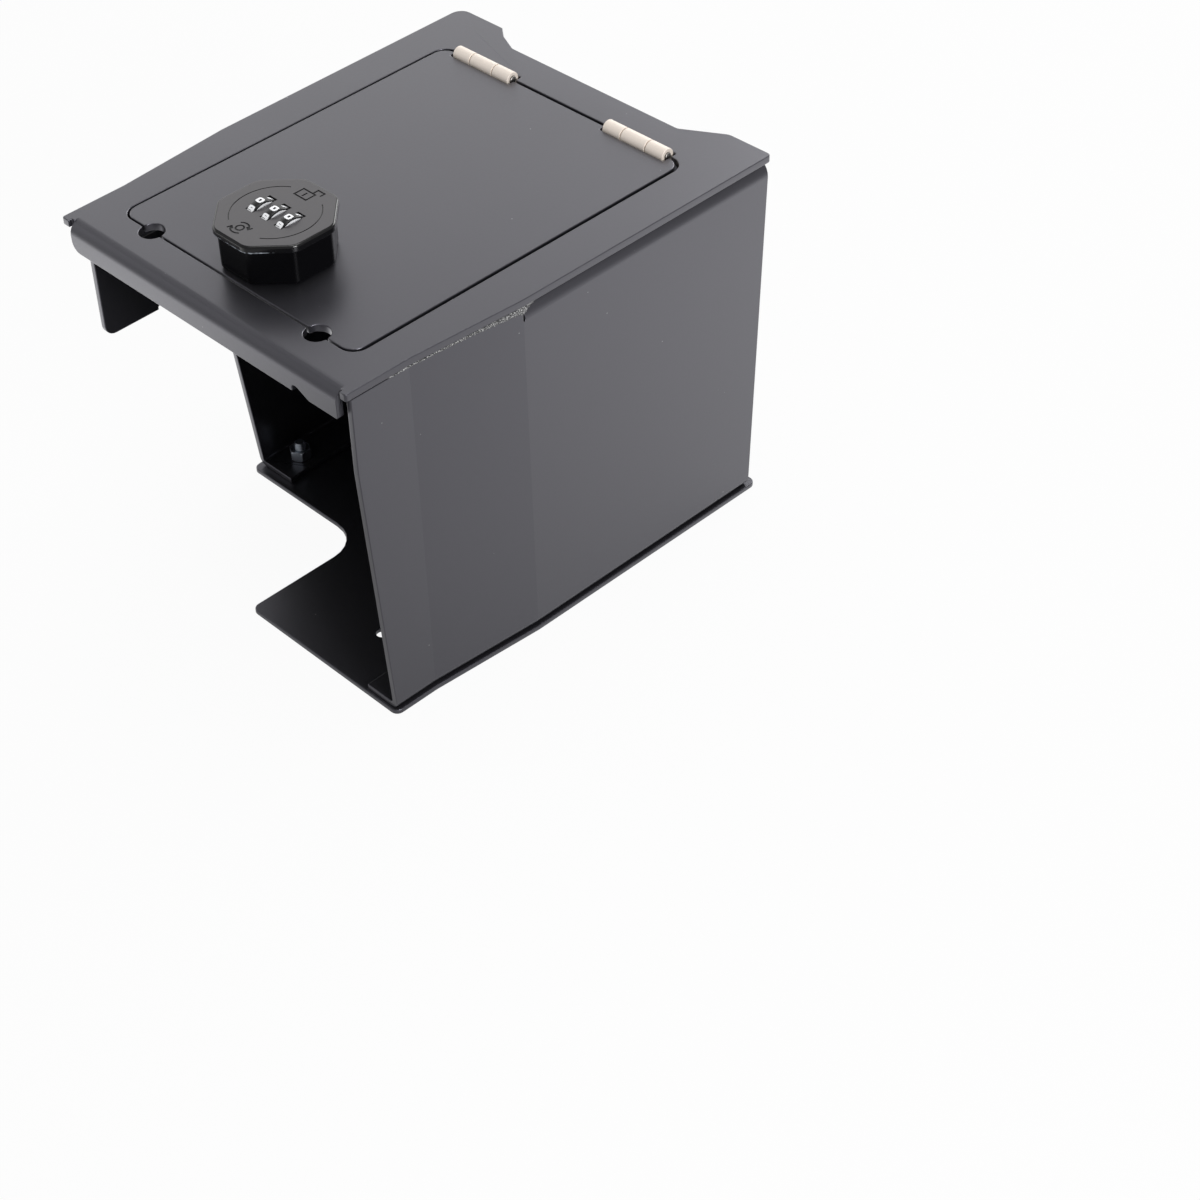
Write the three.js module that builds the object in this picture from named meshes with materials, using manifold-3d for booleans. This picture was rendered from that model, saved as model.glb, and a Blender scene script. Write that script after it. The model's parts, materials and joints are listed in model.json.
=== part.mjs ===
// Console safe: a folded sheet-steel box with an open front, a drop-in lid on two pin hinges,
// and a three-wheel combination knob whose cam swings under the front strip of the top plate.
// Millimetres, +Z up. The origin is the centre of the footprint on the underside of the floor.
// The front is at -Y, the hinges are at +Y, and the knob is seen from +Z.

import * as THREE from 'three';
import { mergeVertices } from 'three/addons/utils/BufferGeometryUtils.js';
import Module from 'manifold-3d';

const wasm = await Module();
wasm.setup();

// Driving dimensions

// Sheets, coats and heights
const bodyHeight = 150.5;        // underside of the floor to the top of the plate
const plateThickness = 3;
const panelThickness = 2.5;
const floorThickness = 2;
const coatGap = 0.1;             // powder coat between pieces that are welded or seated
const platePanelGap = 0.6;       // open line under the plate where the front facets butt on it
const flangeBend = 5;            // outside radius of the plate's front bend
const panelBend = 3.4;           // outside radius of the panels' bends
const rightTopBend = 6.4;        // outside radius of the bend under the plate's right edge
const bendRelief = 0.8;          // length of the slots that free one bend from the next

// Lid and the seam around it
const lidWidth = 126.4;
const lidLength = 157.1;
const lidCornerRadius = 5.6;
const seamLeft = 0.8;
const seamRight = 1.4;
const seamFront = 0.8;
const seamRear = 1.2;

// Strips of the top plate around the lid, and how its outline runs
const stripFront = 17;
const stripRear = 25.3;
const stripLeft = 17.25;
const stripRight = 18.15;
const taper = 3.5;               // how much narrower each side is at the front
const foldFrontSetback = 28.9;   // front face to the first fold of the sides
const foldRearSetback = 77.9;    // front face to the second fold
const frontDrop = 11.7;          // height of the front flange
const flangeCorner = 4.2;
const tongueWidthLeft = 4;
const slitWidthLeft = 1.2;
const tongueWidthRight = 3.1;
const slitWidthRight = 1.1;
const tongueSetback = 0.9;       // front face to the tips of the corner tongues
const slitSetback = 2.6;         // front face to the inner ends of the slits beside them
const hemNotchLength = 8.5;      // shallow notch in the flange's lower edge
const hemNotchHeight = 2.7;
const hemNotchFromEnd = 15;
const recessDepth = 9.6;         // rear edge between the two ears
const earCorner = 3;
const leftEarStart = 43.5;       // centre to where the left ear leaves the recess
const leftEarShoulder = 52.8;    // centre to its shoulder
const leftEarInner = 58;         // centre to its full depth
const leftEarStep = 5.4;         // depth of the shoulder below the ears
const leftEarShort = 1.2;
const rightEarStart = 44.4;      // centre to the foot of the right ear's straight ramp
const rightEarInner = 61.5;      // centre to the head of that ramp
const rightEarCorner = 5;
const cableHoleSpacing = 91.3;
const cableHoleRadius = 4.9;

// Side panels
const rightInset = 0.5;          // plate edge to the outer face of the right panel
const leftInset = 9.8;           // the left panel stands further in, under the plate
const panelFrontSetback = 3.4;   // front face of the flange to the panels' front edge
const panelFrontUpright = 35;    // height, from the top, over which that edge is upright
const panelFrontLean = 6.9;      // how far it leans back from there to the floor
const panelRearSetback = 0.3;
const panelRearLean = 7.8;
const flapDepth = 48.9;          // depth of the left panel's front flap below the plate's top
const flapCorner = 4.5;
const leftEdgeSetback = 4;       // floor's notch to the left panel's edge behind it
const leftEdgeLean = 12;
const bottomFlangeRight = 16.5;
const bottomFlangeLeft = 19.5;
const topFlangeRight = 15.5;
const topFlangeLeft = 9.2;

// Rear panel
const rearPanelSetback = 1.8;    // plate's recessed rear edge to the panel's outer face
const rearSideFlange = 14;
const rearBottomFlange = 16;

// Floor plate
const floorFrontSetback = 9.1;
const floorRearSetback = 4;
const floorPastRight = 0.5;      // how far the floor stands out of the right panel's face
const floorPastLeft = 0.8;
const floorLobeWidth = 83.6;
const floorNotchDepth = 55.4;
const floorNotchRadius = 14;
const floorCorner = 3;
const floorHoleRadius = 2.5;
const floorHoleInset = 36.5;     // right edge of the floor to the loose fixing hole
const floorHoleSetback = 34.4;   // front face of the flange to that hole

// Screws through the floor and the bottom flanges
const screwRadius = 2.4;
const screwHeadRadius = 4.4;
const screwLength = 12.3;
const screwClearance = 0.35;
const nutAcrossFlats = 8;
const nutHeight = 4.7;
const screwFromFlangeEdge = 7.6;
const screwSetbackLeft = 80.4;    // front face of the flange to the left panel's front screw
const screwSetbackRight = 48;
const screwFromRearPanel = 6;    // rear screws' axes to the rear panel's bottom flange

// Hinges
const barrelRadius = 3;
const pinRadius = 1.5;
const pinClearance = 0.08;
const hingeInset = 22.5;         // side edge of the lid to the middle of each hinge
const outerKnuckle = 8.7;
const middleKnuckle = 12.4;
const knuckleGap = 0.3;
const hingeNotchGap = 0.4;
const hingeTang = 6.5;           // reach of each knuckle's welding foot under its sheet
const tangThickness = 1.6;
const pinHeadLength = 0.7;

// Lid stops under the front strip
const stopWidth = 10;
const stopUnderLid = 8;
const stopUnderPlate = 9.5;
const stopThickness = 2.5;
const stopInset = 2;

// Combination knob
const knobSetback = 21.8;        // front edge of the lid to the axis of the lock
const knobOffset = 0.4;          // middle of the lid to the axis of the lock, to the left
const knobGap = 0.4;             // lid to the turning knob
const bodyAcross = 40;
const capAcross = 43;
const capThickness = 2.9;
const knobWeb = 1.4;             // floor of the knob between the barrel's head and the wheels
const capCorner = 6;
const bodyCorner = 3;
const capBevel = 1;
const bodyFootBevel = 1;
const grooveRadius = 16.4;
const grooveWidth = 0.5;
const grooveDepth = 0.3;
const grooveArc = 118;           // degrees of each of the two arcs of the groove
const slotWidth = 4.2;
const slotLength = 11.2;
const wheelPitch = 7.75;
const wheelRadius = 7.6;
const wheelWidth = 3.6;
const wheelProud = 1.5;          // how far the wheels stand out of the cap
const wheelGrip = 0.45;          // depth of the grooves between the numerals
const numeralPlaces = 10;
const wheelRest = Math.PI / numeralPlaces;  // half a place, so that a numeral stands on top
const codeDiscRadius = 4.9;
const codeDiscWidth = 2.2;
const codeNotch = 1.6;
const axleRadius = 1.5;
const axleClearance = 0.12;
const axleSeat = 3;              // length of the axle held at each end
const pocketGap = 0.5;           // wheels to the walls of the pocket
const slideThickness = 1.4;
const slideTooth = 0.9;
const springThickness = 0.4;
const pieceGap = 0.3;            // loose pieces inside the knob to what holds them

// Barrel, cam and what clamps them to the lid
const barrelThreadRadius = 9;
const barrelFlats = 16;
const barrelHeadRadius = 11.5;
const barrelHeadThickness = 1;
const barrelReach = 7.6;         // how far the barrel comes out under the lid
const lidHoleClearance = 0.2;
const washerThickness = 1;
const washerRadius = 12.4;
const lockNutAcross = 24;
const lockNutThickness = 4;
const spindleRadius = 4.5;
const spindleClearance = 0.15;
const spindleSquare = 6.2;
const camThickness = 2.5;
const camWidth = 15;
const camReach = 31;
const camCorner = 2;
const camRise = 14.6;            // where the crank starts, outside the nut's corners
const camFlat = 20.6;            // where it is level again
const camUnderLid = 1;           // top of the cam's end to the underside of the lid
const camScrewRadius = 2;
const camScrewHead = 5;
const camScrewHeadHeight = 2.6;
const camScrewDepth = 7;

// Roundness
const arcStep = 15 * Math.PI / 180;
const roundSteps = 32;
const smallRoundSteps = 24;

// Derived places

const plateWidth = stripLeft + seamLeft + lidWidth + seamRight + stripRight;
const plateLength = stripFront + seamFront + lidLength + seamRear + stripRear;
const plateTop = bodyHeight;
const plateUnder = bodyHeight - plateThickness;
const rearHalf = plateWidth / 2;
const frontHalf = rearHalf - taper;
const frontFace = -plateLength / 2;
const earEdge = plateLength / 2;
const recessEdge = earEdge - recessDepth;
const foldFront = frontFace + foldFrontSetback;
const foldRear = frontFace + foldRearSetback;
const cutLeft = -rearHalf + stripLeft;
const cutRight = rearHalf - stripRight;
const cutFront = frontFace + stripFront;
const cutRear = earEdge - stripRear;
const lidLeft = cutLeft + seamLeft;
const lidRight = cutRight - seamRight;
const lidFront = cutFront + seamFront;
const lidRear = cutRear - seamRear;
const lidCentre = (lidLeft + lidRight) / 2;
const hingeAxis = cutRear - seamRear / 2;
const hingeLength = 2 * outerKnuckle + middleKnuckle + 2 * knuckleGap;
const floorTop = floorThickness + coatGap;
const seatUnder = plateUnder - coatGap;

// Points, outlines and solids

function rounded(corners) {
  // Corners are [x, y, radius], counterclockwise; each round is an arc in equal small steps.
  const points = [];
  corners.forEach(([x, y, radius = 0], index) => {
    const corner = new THREE.Vector2(x, y);
    if (radius === 0) {
      points.push(corner);
      return;
    }
    const before = corners[(index + corners.length - 1) % corners.length];
    const after = corners[(index + 1) % corners.length];
    const back = new THREE.Vector2(before[0], before[1]).sub(corner);
    const ahead = new THREE.Vector2(after[0], after[1]).sub(corner);
    back.normalize();
    ahead.normalize();
    const half = Math.acos(THREE.MathUtils.clamp(back.dot(ahead), -1, 1)) / 2;
    const centre = back.clone().add(ahead).normalize();
    centre.multiplyScalar(radius / Math.sin(half)).add(corner);
    const reach = radius / Math.tan(half);
    const start = back.multiplyScalar(reach).add(corner).sub(centre);
    const end = ahead.multiplyScalar(reach).add(corner).sub(centre);
    const turn = Math.atan2(start.cross(end), start.dot(end));
    const steps = Math.max(2, Math.round(Math.abs(turn) / arcStep));
    for (let step = 0; step <= steps; step += 1) {
      const point = start.clone().rotateAround(new THREE.Vector2(), turn * step / steps);
      points.push(point.add(centre));
    }
  });
  return points;
}

function ellipse(x, y, radiusX, radiusY, steps) {
  const points = [];
  for (let step = 0; step < steps; step += 1) {
    const angle = (step + 0.5) * 2 * Math.PI / steps;
    points.push(new THREE.Vector2(x + radiusX * Math.cos(angle), y + radiusY * Math.sin(angle)));
  }
  return points;
}

const circle = (x, y, radius, steps = roundSteps) => ellipse(x, y, radius, radius, steps);

function polygon(sides, across, cornerRadius = 0) {
  // A regular polygon by its width across flats, with a flat to +X.
  const reach = across / 2 / Math.cos(Math.PI / sides);
  const corners = [];
  for (let side = 0; side < sides; side += 1) {
    const angle = (side + 0.5) * 2 * Math.PI / sides;
    corners.push([reach * Math.cos(angle), reach * Math.sin(angle), cornerRadius]);
  }
  return rounded(corners);
}

function rectangle(x0, x1, y0, y1, radius = 0) {
  return rounded([[x0, y0, radius], [x1, y0, radius], [x1, y1, radius], [x0, y1, radius]]);
}

function solid(geometry) {
  geometry.deleteAttribute('normal');
  geometry.deleteAttribute('uv');
  const merged = mergeVertices(geometry);
  return new wasm.Manifold(new wasm.Mesh({
    numProp: 3,
    vertProperties: merged.attributes.position.array,
    triVerts: Uint32Array.from(merged.index.array),
  }));
}

function extruded(outline, holes, depth) {
  const shape = new THREE.Shape(outline);
  shape.holes = holes.map((hole) => new THREE.Path(hole));
  return new THREE.ExtrudeGeometry(shape, { depth, bevelEnabled: false });
}

// An outline in X and Y, raised from z0 to z1
function upright(outline, z0, z1, holes = []) {
  return solid(extruded(outline, holes, z1 - z0).translate(0, 0, z0));
}

// An outline in Y and Z, drawn out from x0 to x1
function alongX(outline, x0, x1, holes = []) {
  const turn = new THREE.Matrix4().makeBasis(
    new THREE.Vector3(0, 1, 0), new THREE.Vector3(0, 0, 1), new THREE.Vector3(1, 0, 0));
  return solid(extruded(outline, holes, x1 - x0).applyMatrix4(turn).translate(x0, 0, 0));
}

// An outline in X and Z, drawn out from y0 to y1
function alongY(outline, y0, y1, holes = []) {
  return solid(extruded(outline, holes, y1 - y0).rotateX(Math.PI / 2).translate(0, y1, 0));
}

function block(x0, x1, y0, y1, z0, z1) {
  const box = new THREE.BoxGeometry(x1 - x0, y1 - y0, z1 - z0);
  return solid(box.translate((x0 + x1) / 2, (y0 + y1) / 2, (z0 + z1) / 2));
}

// A profile of [radius, z], from the axis and back to it, turned about Z
function turned(profile, steps = roundSteps) {
  const points = profile.map(([radius, z]) => new THREE.Vector2(radius, z));
  return solid(new THREE.LatheGeometry(points, steps).rotateX(Math.PI / 2));
}

function sheetSection(line, thickness, bend) {
  // The section of a bent sheet: a line of [across, up] along one face, with the sheet on its
  // left, rounded to the bend's outside radius on the outer face and the rest on the inner.
  const points = line.map(([across, up]) => new THREE.Vector2(across, up));
  const normals = [];
  for (let index = 0; index + 1 < points.length; index += 1) {
    const way = points[index + 1].clone().sub(points[index]).normalize();
    normals.push(new THREE.Vector2(-way.y, way.x));
  }
  const near = [];
  const far = [];
  points.forEach((point, index) => {
    const first = normals[Math.max(index - 1, 0)];
    const second = normals[Math.min(index, normals.length - 1)];
    const mitre = first.clone().add(second);
    mitre.multiplyScalar(thickness / (1 + first.dot(second)));
    const turn = first.cross(second);
    const inside = Math.max(bend - thickness, 0.2);
    near.push([point.x, point.y, turn === 0 ? 0 : (turn > 0 ? bend : inside)]);
    far.push([point.x + mitre.x, point.y + mitre.y, turn === 0 ? 0 : (turn > 0 ? inside : bend)]);
  });
  return rounded([...near, ...far.reverse()]);
}

function sweep(section, path, side) {
  // A section of (distance, height) carried along a plan path, with mitred folds. The distance
  // runs to the left of the path where side is 1 and to its right where side is -1.
  const mitres = path.map((point, index) => {
    const last = path.length - 1;
    const before = path[Math.max(index - 1, 0)];
    const after = path[Math.min(index + 1, last)];
    const wayIn = (index > 0 ? point : after).clone().sub(index > 0 ? before : point).normalize();
    const wayOut = (index < last ? after : point).clone().sub(index < last ? point : before).normalize();
    const first = new THREE.Vector2(-wayIn.y, wayIn.x).multiplyScalar(side);
    const second = new THREE.Vector2(-wayOut.y, wayOut.x).multiplyScalar(side);
    return first.clone().add(second).multiplyScalar(1 / (1 + first.dot(second)));
  });
  const size = section.length;
  const positions = [];
  path.forEach((point, station) => {
    for (const { x: distance, y: height } of section) {
      const place = mitres[station].clone().multiplyScalar(distance).add(point);
      positions.push(place.x, place.y, height);
    }
  });
  const faces = [];
  for (let station = 0; station + 1 < path.length; station += 1) {
    for (let point = 0; point < size; point += 1) {
      const next = (point + 1) % size;
      const here = station * size;
      const there = here + size;
      faces.push([here + point, there + next, here + next]);
      faces.push([here + point, there + point, there + next]);
    }
  }
  const lastRing = (path.length - 1) * size;
  for (const [a, b, c] of THREE.ShapeUtils.triangulateShape(section, [])) {
    faces.push([a, b, c]);
    faces.push([lastRing + a, lastRing + c, lastRing + b]);
  }
  const index = side > 0 ? faces.map(([a, b, c]) => [a, c, b]) : faces;
  const geometry = new THREE.BufferGeometry();
  geometry.setAttribute('position', new THREE.Float32BufferAttribute(positions, 3));
  geometry.setIndex(index.flat());
  return solid(geometry);
}

function stacked(layers) {
  // Layers of [outline, height] with as many points each, joined one above the other.
  const size = layers[0][0].length;
  const positions = layers.flatMap(([outline, height]) => outline.flatMap(({ x, y }) => [x, y, height]));
  const faces = [];
  for (let layer = 0; layer + 1 < layers.length; layer += 1) {
    for (let point = 0; point < size; point += 1) {
      const here = layer * size + point;
      const next = layer * size + (point + 1) % size;
      faces.push(here, next, next + size, here, next + size, here + size);
    }
  }
  const top = (layers.length - 1) * size;
  const [first] = layers[0];
  const [last] = layers[layers.length - 1];
  for (const [a, b, c] of THREE.ShapeUtils.triangulateShape(first, [])) {
    faces.push(a, c, b);
  }
  for (const [a, b, c] of THREE.ShapeUtils.triangulateShape(last, [])) {
    faces.push(top + a, top + b, top + c);
  }
  const geometry = new THREE.BufferGeometry();
  geometry.setAttribute('position', new THREE.Float32BufferAttribute(positions, 3));
  geometry.setIndex(faces);
  return solid(geometry);
}

// Finishes

function finish(color, roughness, metalness) {
  return () => new THREE.MeshStandardMaterial({ color, roughness, metalness });
}

const blackCoat = finish(0x3c3c3e, 0.55, 0.1);
const nickel = finish(0xd8cfc4, 0.25, 0.9);
const zincPlate = finish(0xa9b2bd, 0.35, 0.9);
const blackEnamel = finish(0x0d0d0e, 0.15, 0);
const wheelBlack = finish(0x101011, 0.35, 0);
const discWhite = finish(0xe4e6e8, 0.5, 0);
const castZinc = finish(0x8e9092, 0.4, 0.9);
const springSteel = finish(0x9a9894, 0.3, 0.9);

function piece(name, body, material, parent) {
  const { numProp, vertProperties, triVerts } = body.getMesh();
  const geometry = new THREE.BufferGeometry();
  const positions = numProp === 3
    ? vertProperties
    : vertProperties.filter((value, index) => index % numProp < 3);
  geometry.setAttribute('position', new THREE.Float32BufferAttribute(positions, 3));
  geometry.setIndex(Array.from(triVerts));
  geometry.computeVertexNormals();
  const mesh = new THREE.Mesh(geometry, material());
  mesh.name = name;
  parent.add(mesh);
  return mesh;
}

// Top plate: one flat sheet with the lid's cut-out, its front edge folded down

const flangeLeft = -frontHalf + tongueWidthLeft + slitWidthLeft;
const flangeRight = frontHalf - tongueWidthRight - slitWidthRight;
const bendLine = frontFace + flangeBend;
const tongueTip = frontFace + tongueSetback;
const slitEnd = frontFace + slitSetback;
const hingeCentres = [lidLeft + hingeInset, lidRight - hingeInset];
const cableHoles = [lidCentre - cableHoleSpacing / 2, lidCentre + cableHoleSpacing / 2];
const seamFrontCentre = cutFront + seamFront / 2;

function cableHoleCutter(x) {
  const outline = circle(x, seamFrontCentre, cableHoleRadius, smallRoundSteps);
  return upright(outline, plateUnder - 1, plateTop + 1);
}

function hingeNotchCutter(centre, front, rear) {
  const half = hingeLength / 2 + pinHeadLength + hingeNotchGap;
  return block(centre - half, centre + half, front, rear, plateUnder - 1, plateTop + 1);
}

function makeTopPlate() {
  const outline = rounded([
    [-frontHalf, tongueTip, 1],
    [-frontHalf + tongueWidthLeft, tongueTip],
    [-frontHalf + tongueWidthLeft, slitEnd],
    [flangeLeft, slitEnd],
    [flangeLeft, bendLine],
    [flangeRight, bendLine],
    [flangeRight, slitEnd],
    [flangeRight + slitWidthRight, slitEnd],
    [flangeRight + slitWidthRight, tongueTip],
    [frontHalf, tongueTip, 1],
    [frontHalf, foldFront],
    [rearHalf, foldRear],
    [rearHalf, earEdge, earCorner / 2],
    [rightEarInner, earEdge, rightEarCorner],
    [rightEarStart, recessEdge, earCorner],
    [-leftEarStart, recessEdge, earCorner],
    [-leftEarShoulder, earEdge - leftEarStep, earCorner],
    [-leftEarInner, earEdge - leftEarShort, 1],
    [-rearHalf, earEdge - leftEarShort, earCorner + 2],
    [-rearHalf, foldRear],
    [-frontHalf, foldFront],
  ]);
  const cutOut = rectangle(cutLeft, cutRight, cutFront, cutRear, lidCornerRadius + seamLeft);
  const sheet = upright(outline, plateUnder, plateTop, [cutOut]);
  const hem = plateTop - frontDrop;
  const section = sheetSection(
    [[frontFace, hem], [frontFace, plateTop], [bendLine, plateTop]].reverse(),
    plateThickness, flangeBend);
  const notchLeft = flangeRight - hemNotchFromEnd - hemNotchLength;
  const notchTop = hem + hemNotchHeight;
  const face = rounded([
    [flangeLeft, hem, flangeCorner],
    [notchLeft, hem],
    [notchLeft, notchTop, hemNotchHeight / 2],
    [notchLeft + hemNotchHeight, notchTop, hemNotchHeight / 2],
    [notchLeft + hemNotchLength, hem],
    [flangeRight, hem, 1],
    [flangeRight, plateTop + 1],
    [flangeLeft, plateTop + 1],
  ]);
  const flange = alongX(section, flangeLeft, flangeRight)
    .intersect(alongY(face, frontFace - 1, bendLine + 1));
  let plate = sheet.add(flange);
  for (const x of cableHoles) {
    plate = plate.subtract(cableHoleCutter(x));
  }
  for (const centre of hingeCentres) {
    const rear = hingeAxis + barrelRadius + hingeNotchGap;
    plate = plate.subtract(hingeNotchCutter(centre, cutRear - 1, rear));
  }
  return plate;
}

// Side panels: three facets with two upright folds, flanged at the floor and under the plate

const rearEdgeTop = earEdge - panelRearSetback;
const rearEdgeBottom = rearEdgeTop - panelRearLean;
const frontEdgeTop = frontFace + panelFrontSetback;
const frontEdgeBottom = frontEdgeTop + panelFrontLean;
const uprightEnd = plateTop - panelFrontUpright;
const panelTop = plateUnder - platePanelGap;
const floorFront = frontFace + floorFrontSetback;
const floorRear = earEdge - floorRearSetback;
const rearFace = recessEdge - rearPanelSetback;
const notchRear = floorFront + floorNotchDepth;
const pathSpare = 20;            // how far the panels' blanks run past their trimmed ends

function panelPath(side, inset) {
  return [
    new THREE.Vector2(side * (frontHalf - inset), frontFace - pathSpare),
    new THREE.Vector2(side * (frontHalf - inset), foldFront),
    new THREE.Vector2(side * (rearHalf - inset), foldRear),
    new THREE.Vector2(side * (rearHalf - inset), earEdge + pathSpare),
  ];
}

function makeSidePanel(side, inset, bottomFlange, topLine, topBend, trim) {
  const path = panelPath(side, inset);
  const bottomLine = [[0, panelTop], [0, floorTop], [bottomFlange, floorTop]];
  const wall = sweep(sheetSection(bottomLine, panelThickness, panelBend), path, side);
  const reach = rearHalf + 1;
  const bendUnder = seatUnder - topBend;
  const headroom = block(-reach, reach, foldRear, earEdge + pathSpare + 1, bendUnder, plateTop);
  const face = path[2].x;
  const hang = [...topLine, [0, bendUnder - topBend]];
  const hook = sheetSection(hang, panelThickness, topBend)
    .map(({ x, y }) => new THREE.Vector2(face - side * x, y));
  const hookOutline = side > 0 ? hook.reverse() : hook;
  const flange = alongY(hookOutline, foldRear + bendRelief, earEdge + pathSpare);
  return wall.subtract(headroom).add(flange).intersect(alongX(trim, -reach, reach));
}

function makeRightPanel() {
  const topLine = [[topFlangeRight, seatUnder], [0, seatUnder]];
  const trim = rounded([
    [frontEdgeBottom, 0],
    [rearEdgeBottom, 0],
    [rearEdgeTop, plateTop],
    [frontEdgeTop, plateTop],
    [frontEdgeTop, uprightEnd],
  ]);
  return makeSidePanel(1, rightInset, bottomFlangeRight, topLine, rightTopBend, trim);
}

function makeLeftPanel() {
  // The sheet is on the left of the line, so this flange turns outward from its inner face.
  const topLine = [[-topFlangeLeft, seatUnder - panelThickness], [0, seatUnder - panelThickness]];
  const flapEnd = plateTop - flapDepth;
  const mainFront = notchRear + leftEdgeSetback;
  const cornerTrim = flangeBend - plateThickness + platePanelGap;
  const trim = rounded([
    [mainFront, 0],
    [rearEdgeBottom, 0],
    [rearEdgeTop, plateTop],
    [frontEdgeTop + cornerTrim, plateTop],
    [frontEdgeTop + cornerTrim, panelTop],
    [frontEdgeTop, panelTop - cornerTrim],
    [frontEdgeTop, flapEnd, flapCorner],
    [foldFront - 1, flapEnd],
    [foldFront - 1, flapEnd + 1.5],
    [mainFront - leftEdgeLean, flapEnd + 1.5, 8],
  ]);
  return makeSidePanel(-1, leftInset, bottomFlangeLeft, topLine, panelBend, trim);
}

const group = new THREE.Group();

piece('top_plate', makeTopPlate(), blackCoat, group);

// Screws and nuts that clamp the floor to the bottom flanges

function panelFace(side, inset, y) {
  const along = THREE.MathUtils.clamp((y - foldFront) / (foldRear - foldFront), 0, 1);
  return side * (frontHalf - inset + taper * along);
}

function screwPlaces(side, inset, bottomFlange, frontSetback) {
  const rearPlace = rearFace - rearBottomFlange - screwFromRearPanel;
  return [frontFace + frontSetback, rearPlace].map((y) => {
    const x = panelFace(side, inset, y) - side * (bottomFlange - screwFromFlangeEdge);
    return [x, y];
  });
}

const screws = [
  ...screwPlaces(-1, leftInset, bottomFlangeLeft, screwSetbackLeft),
  ...screwPlaces(1, rightInset, bottomFlangeRight, screwSetbackRight),
];
const nutSeat = floorTop + panelThickness + coatGap;

function screwHoleCutter([x, y]) {
  // A countersink at 45 degrees from the underside of the floor, then a plain hole.
  const headRadius = screwHeadRadius + screwClearance;
  const holeRadius = screwRadius + screwClearance;
  const spare = 1;
  return turned([
    [0, -spare],
    [headRadius + spare + coatGap, -spare],
    [holeRadius, headRadius - holeRadius + coatGap],
    [holeRadius, nutSeat + spare],
    [0, nutSeat + spare],
  ], smallRoundSteps).translate([x, y, 0]);
}

function drilled(sheet) {
  return screws.reduce((rest, place) => rest.subtract(screwHoleCutter(place)), sheet);
}

piece('right_side_panel', drilled(makeRightPanel()), blackCoat, group);
piece('left_side_panel', drilled(makeLeftPanel()), blackCoat, group);

// Rear panel: a shallow tray between the side panels, flanged forward at both sides and the floor

const rearLeft = panelFace(-1, leftInset, rearFace) + panelThickness + coatGap;
const rearRight = panelFace(1, rightInset, rearFace) - panelThickness - coatGap;

function makeRearPanel() {
  const sideFront = rearFace - rearSideFlange;
  const plan = sheetSection(
    [[rearRight, sideFront], [rearRight, rearFace], [rearLeft, rearFace], [rearLeft, sideFront]],
    panelThickness, panelBend);
  const bottomRoom = panelBend + pieceGap;
  const topRoom = Math.max(rightTopBend, panelBend) + pieceGap;
  const tray = upright(plan, floorTop + bottomRoom, seatUnder - topRoom);
  const upRight = sheetSection(
    [[rearFace - rearBottomFlange, floorTop], [rearFace, floorTop], [rearFace, seatUnder]],
    panelThickness, panelBend);
  const webLeft = rearLeft - panelThickness - coatGap + bottomFlangeLeft + 1;
  const webRight = rearRight + panelThickness + coatGap - bottomFlangeRight - 1;
  return tray.add(alongX(upRight, webLeft, webRight));
}

piece('rear_panel', makeRearPanel(), blackCoat, group);

// Floor plate: cut back on the left in front, so that only a lobe reaches the front edge

function makeFloorPlate() {
  const rightInFloor = rightInset - floorPastRight;
  const leftInFloor = leftInset - floorPastLeft;
  const right = panelFace(1, rightInFloor, floorFront);
  const lobeLeft = right - floorLobeWidth;
  const outline = rounded([
    [lobeLeft, floorFront, floorCorner],
    [right, floorFront, floorCorner],
    [right, foldFront],
    [panelFace(1, rightInFloor, foldRear), foldRear],
    [panelFace(1, rightInFloor, floorRear), floorRear, floorCorner],
    [panelFace(-1, leftInFloor, floorRear), floorRear, floorCorner],
    [panelFace(-1, leftInFloor, foldRear), foldRear],
    [panelFace(-1, leftInFloor, notchRear), notchRear, floorCorner],
    [lobeLeft, notchRear, floorNotchRadius],
  ]);
  const holeX = right - floorHoleInset;
  const hole = circle(holeX, frontFace + floorHoleSetback, floorHoleRadius, smallRoundSteps);
  return drilled(upright(outline, 0, floorThickness, [hole]));
}

piece('floor_plate', makeFloorPlate(), blackCoat, group);

const screwBody = turned([
  [0, coatGap],
  [screwHeadRadius, coatGap],
  [screwRadius, coatGap + screwHeadRadius - screwRadius],
  [screwRadius, screwLength - 0.6],
  [screwRadius - 0.6, screwLength],
  [0, screwLength],
], smallRoundSteps);
const nutBody = upright(polygon(6, nutAcrossFlats), nutSeat, nutSeat + nutHeight,
  [circle(0, 0, screwRadius + coatGap, smallRoundSteps)]);
screws.forEach(([x, y], index) => {
  piece(`floor_screw_${index + 1}`, screwBody, zincPlate, group).position.set(x, y, 0);
  piece(`floor_nut_${index + 1}`, nutBody, zincPlate, group).position.set(x, y, 0);
});

// Lid stops: two tabs welded under the front strip, on which the lid's front corners rest

function makeLidStop(x) {
  return block(x, x + stopWidth, cutFront - stopUnderPlate, cutFront + stopUnderLid,
    seatUnder - stopThickness, seatUnder);
}

piece('left_lid_stop', makeLidStop(cutLeft + stopInset), blackCoat, group);
piece('right_lid_stop', makeLidStop(cutRight - stopInset - stopWidth), blackCoat, group);

// Lid: one flat sheet that lies flush in the cut-out

const lockX = lidCentre - knobOffset;
const lockY = lidFront + knobSetback;

function doubleFlat(radius, across) {
  // A long round rod with two flats across Y
  const reach = bodyHeight;
  const rod = upright(circle(0, 0, radius), -reach, reach);
  return rod.intersect(block(-reach, reach, -across / 2, across / 2, -reach, reach));
}

function makeLockHole() {
  return doubleFlat(barrelThreadRadius + lidHoleClearance, barrelFlats + 2 * lidHoleClearance);
}

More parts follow.
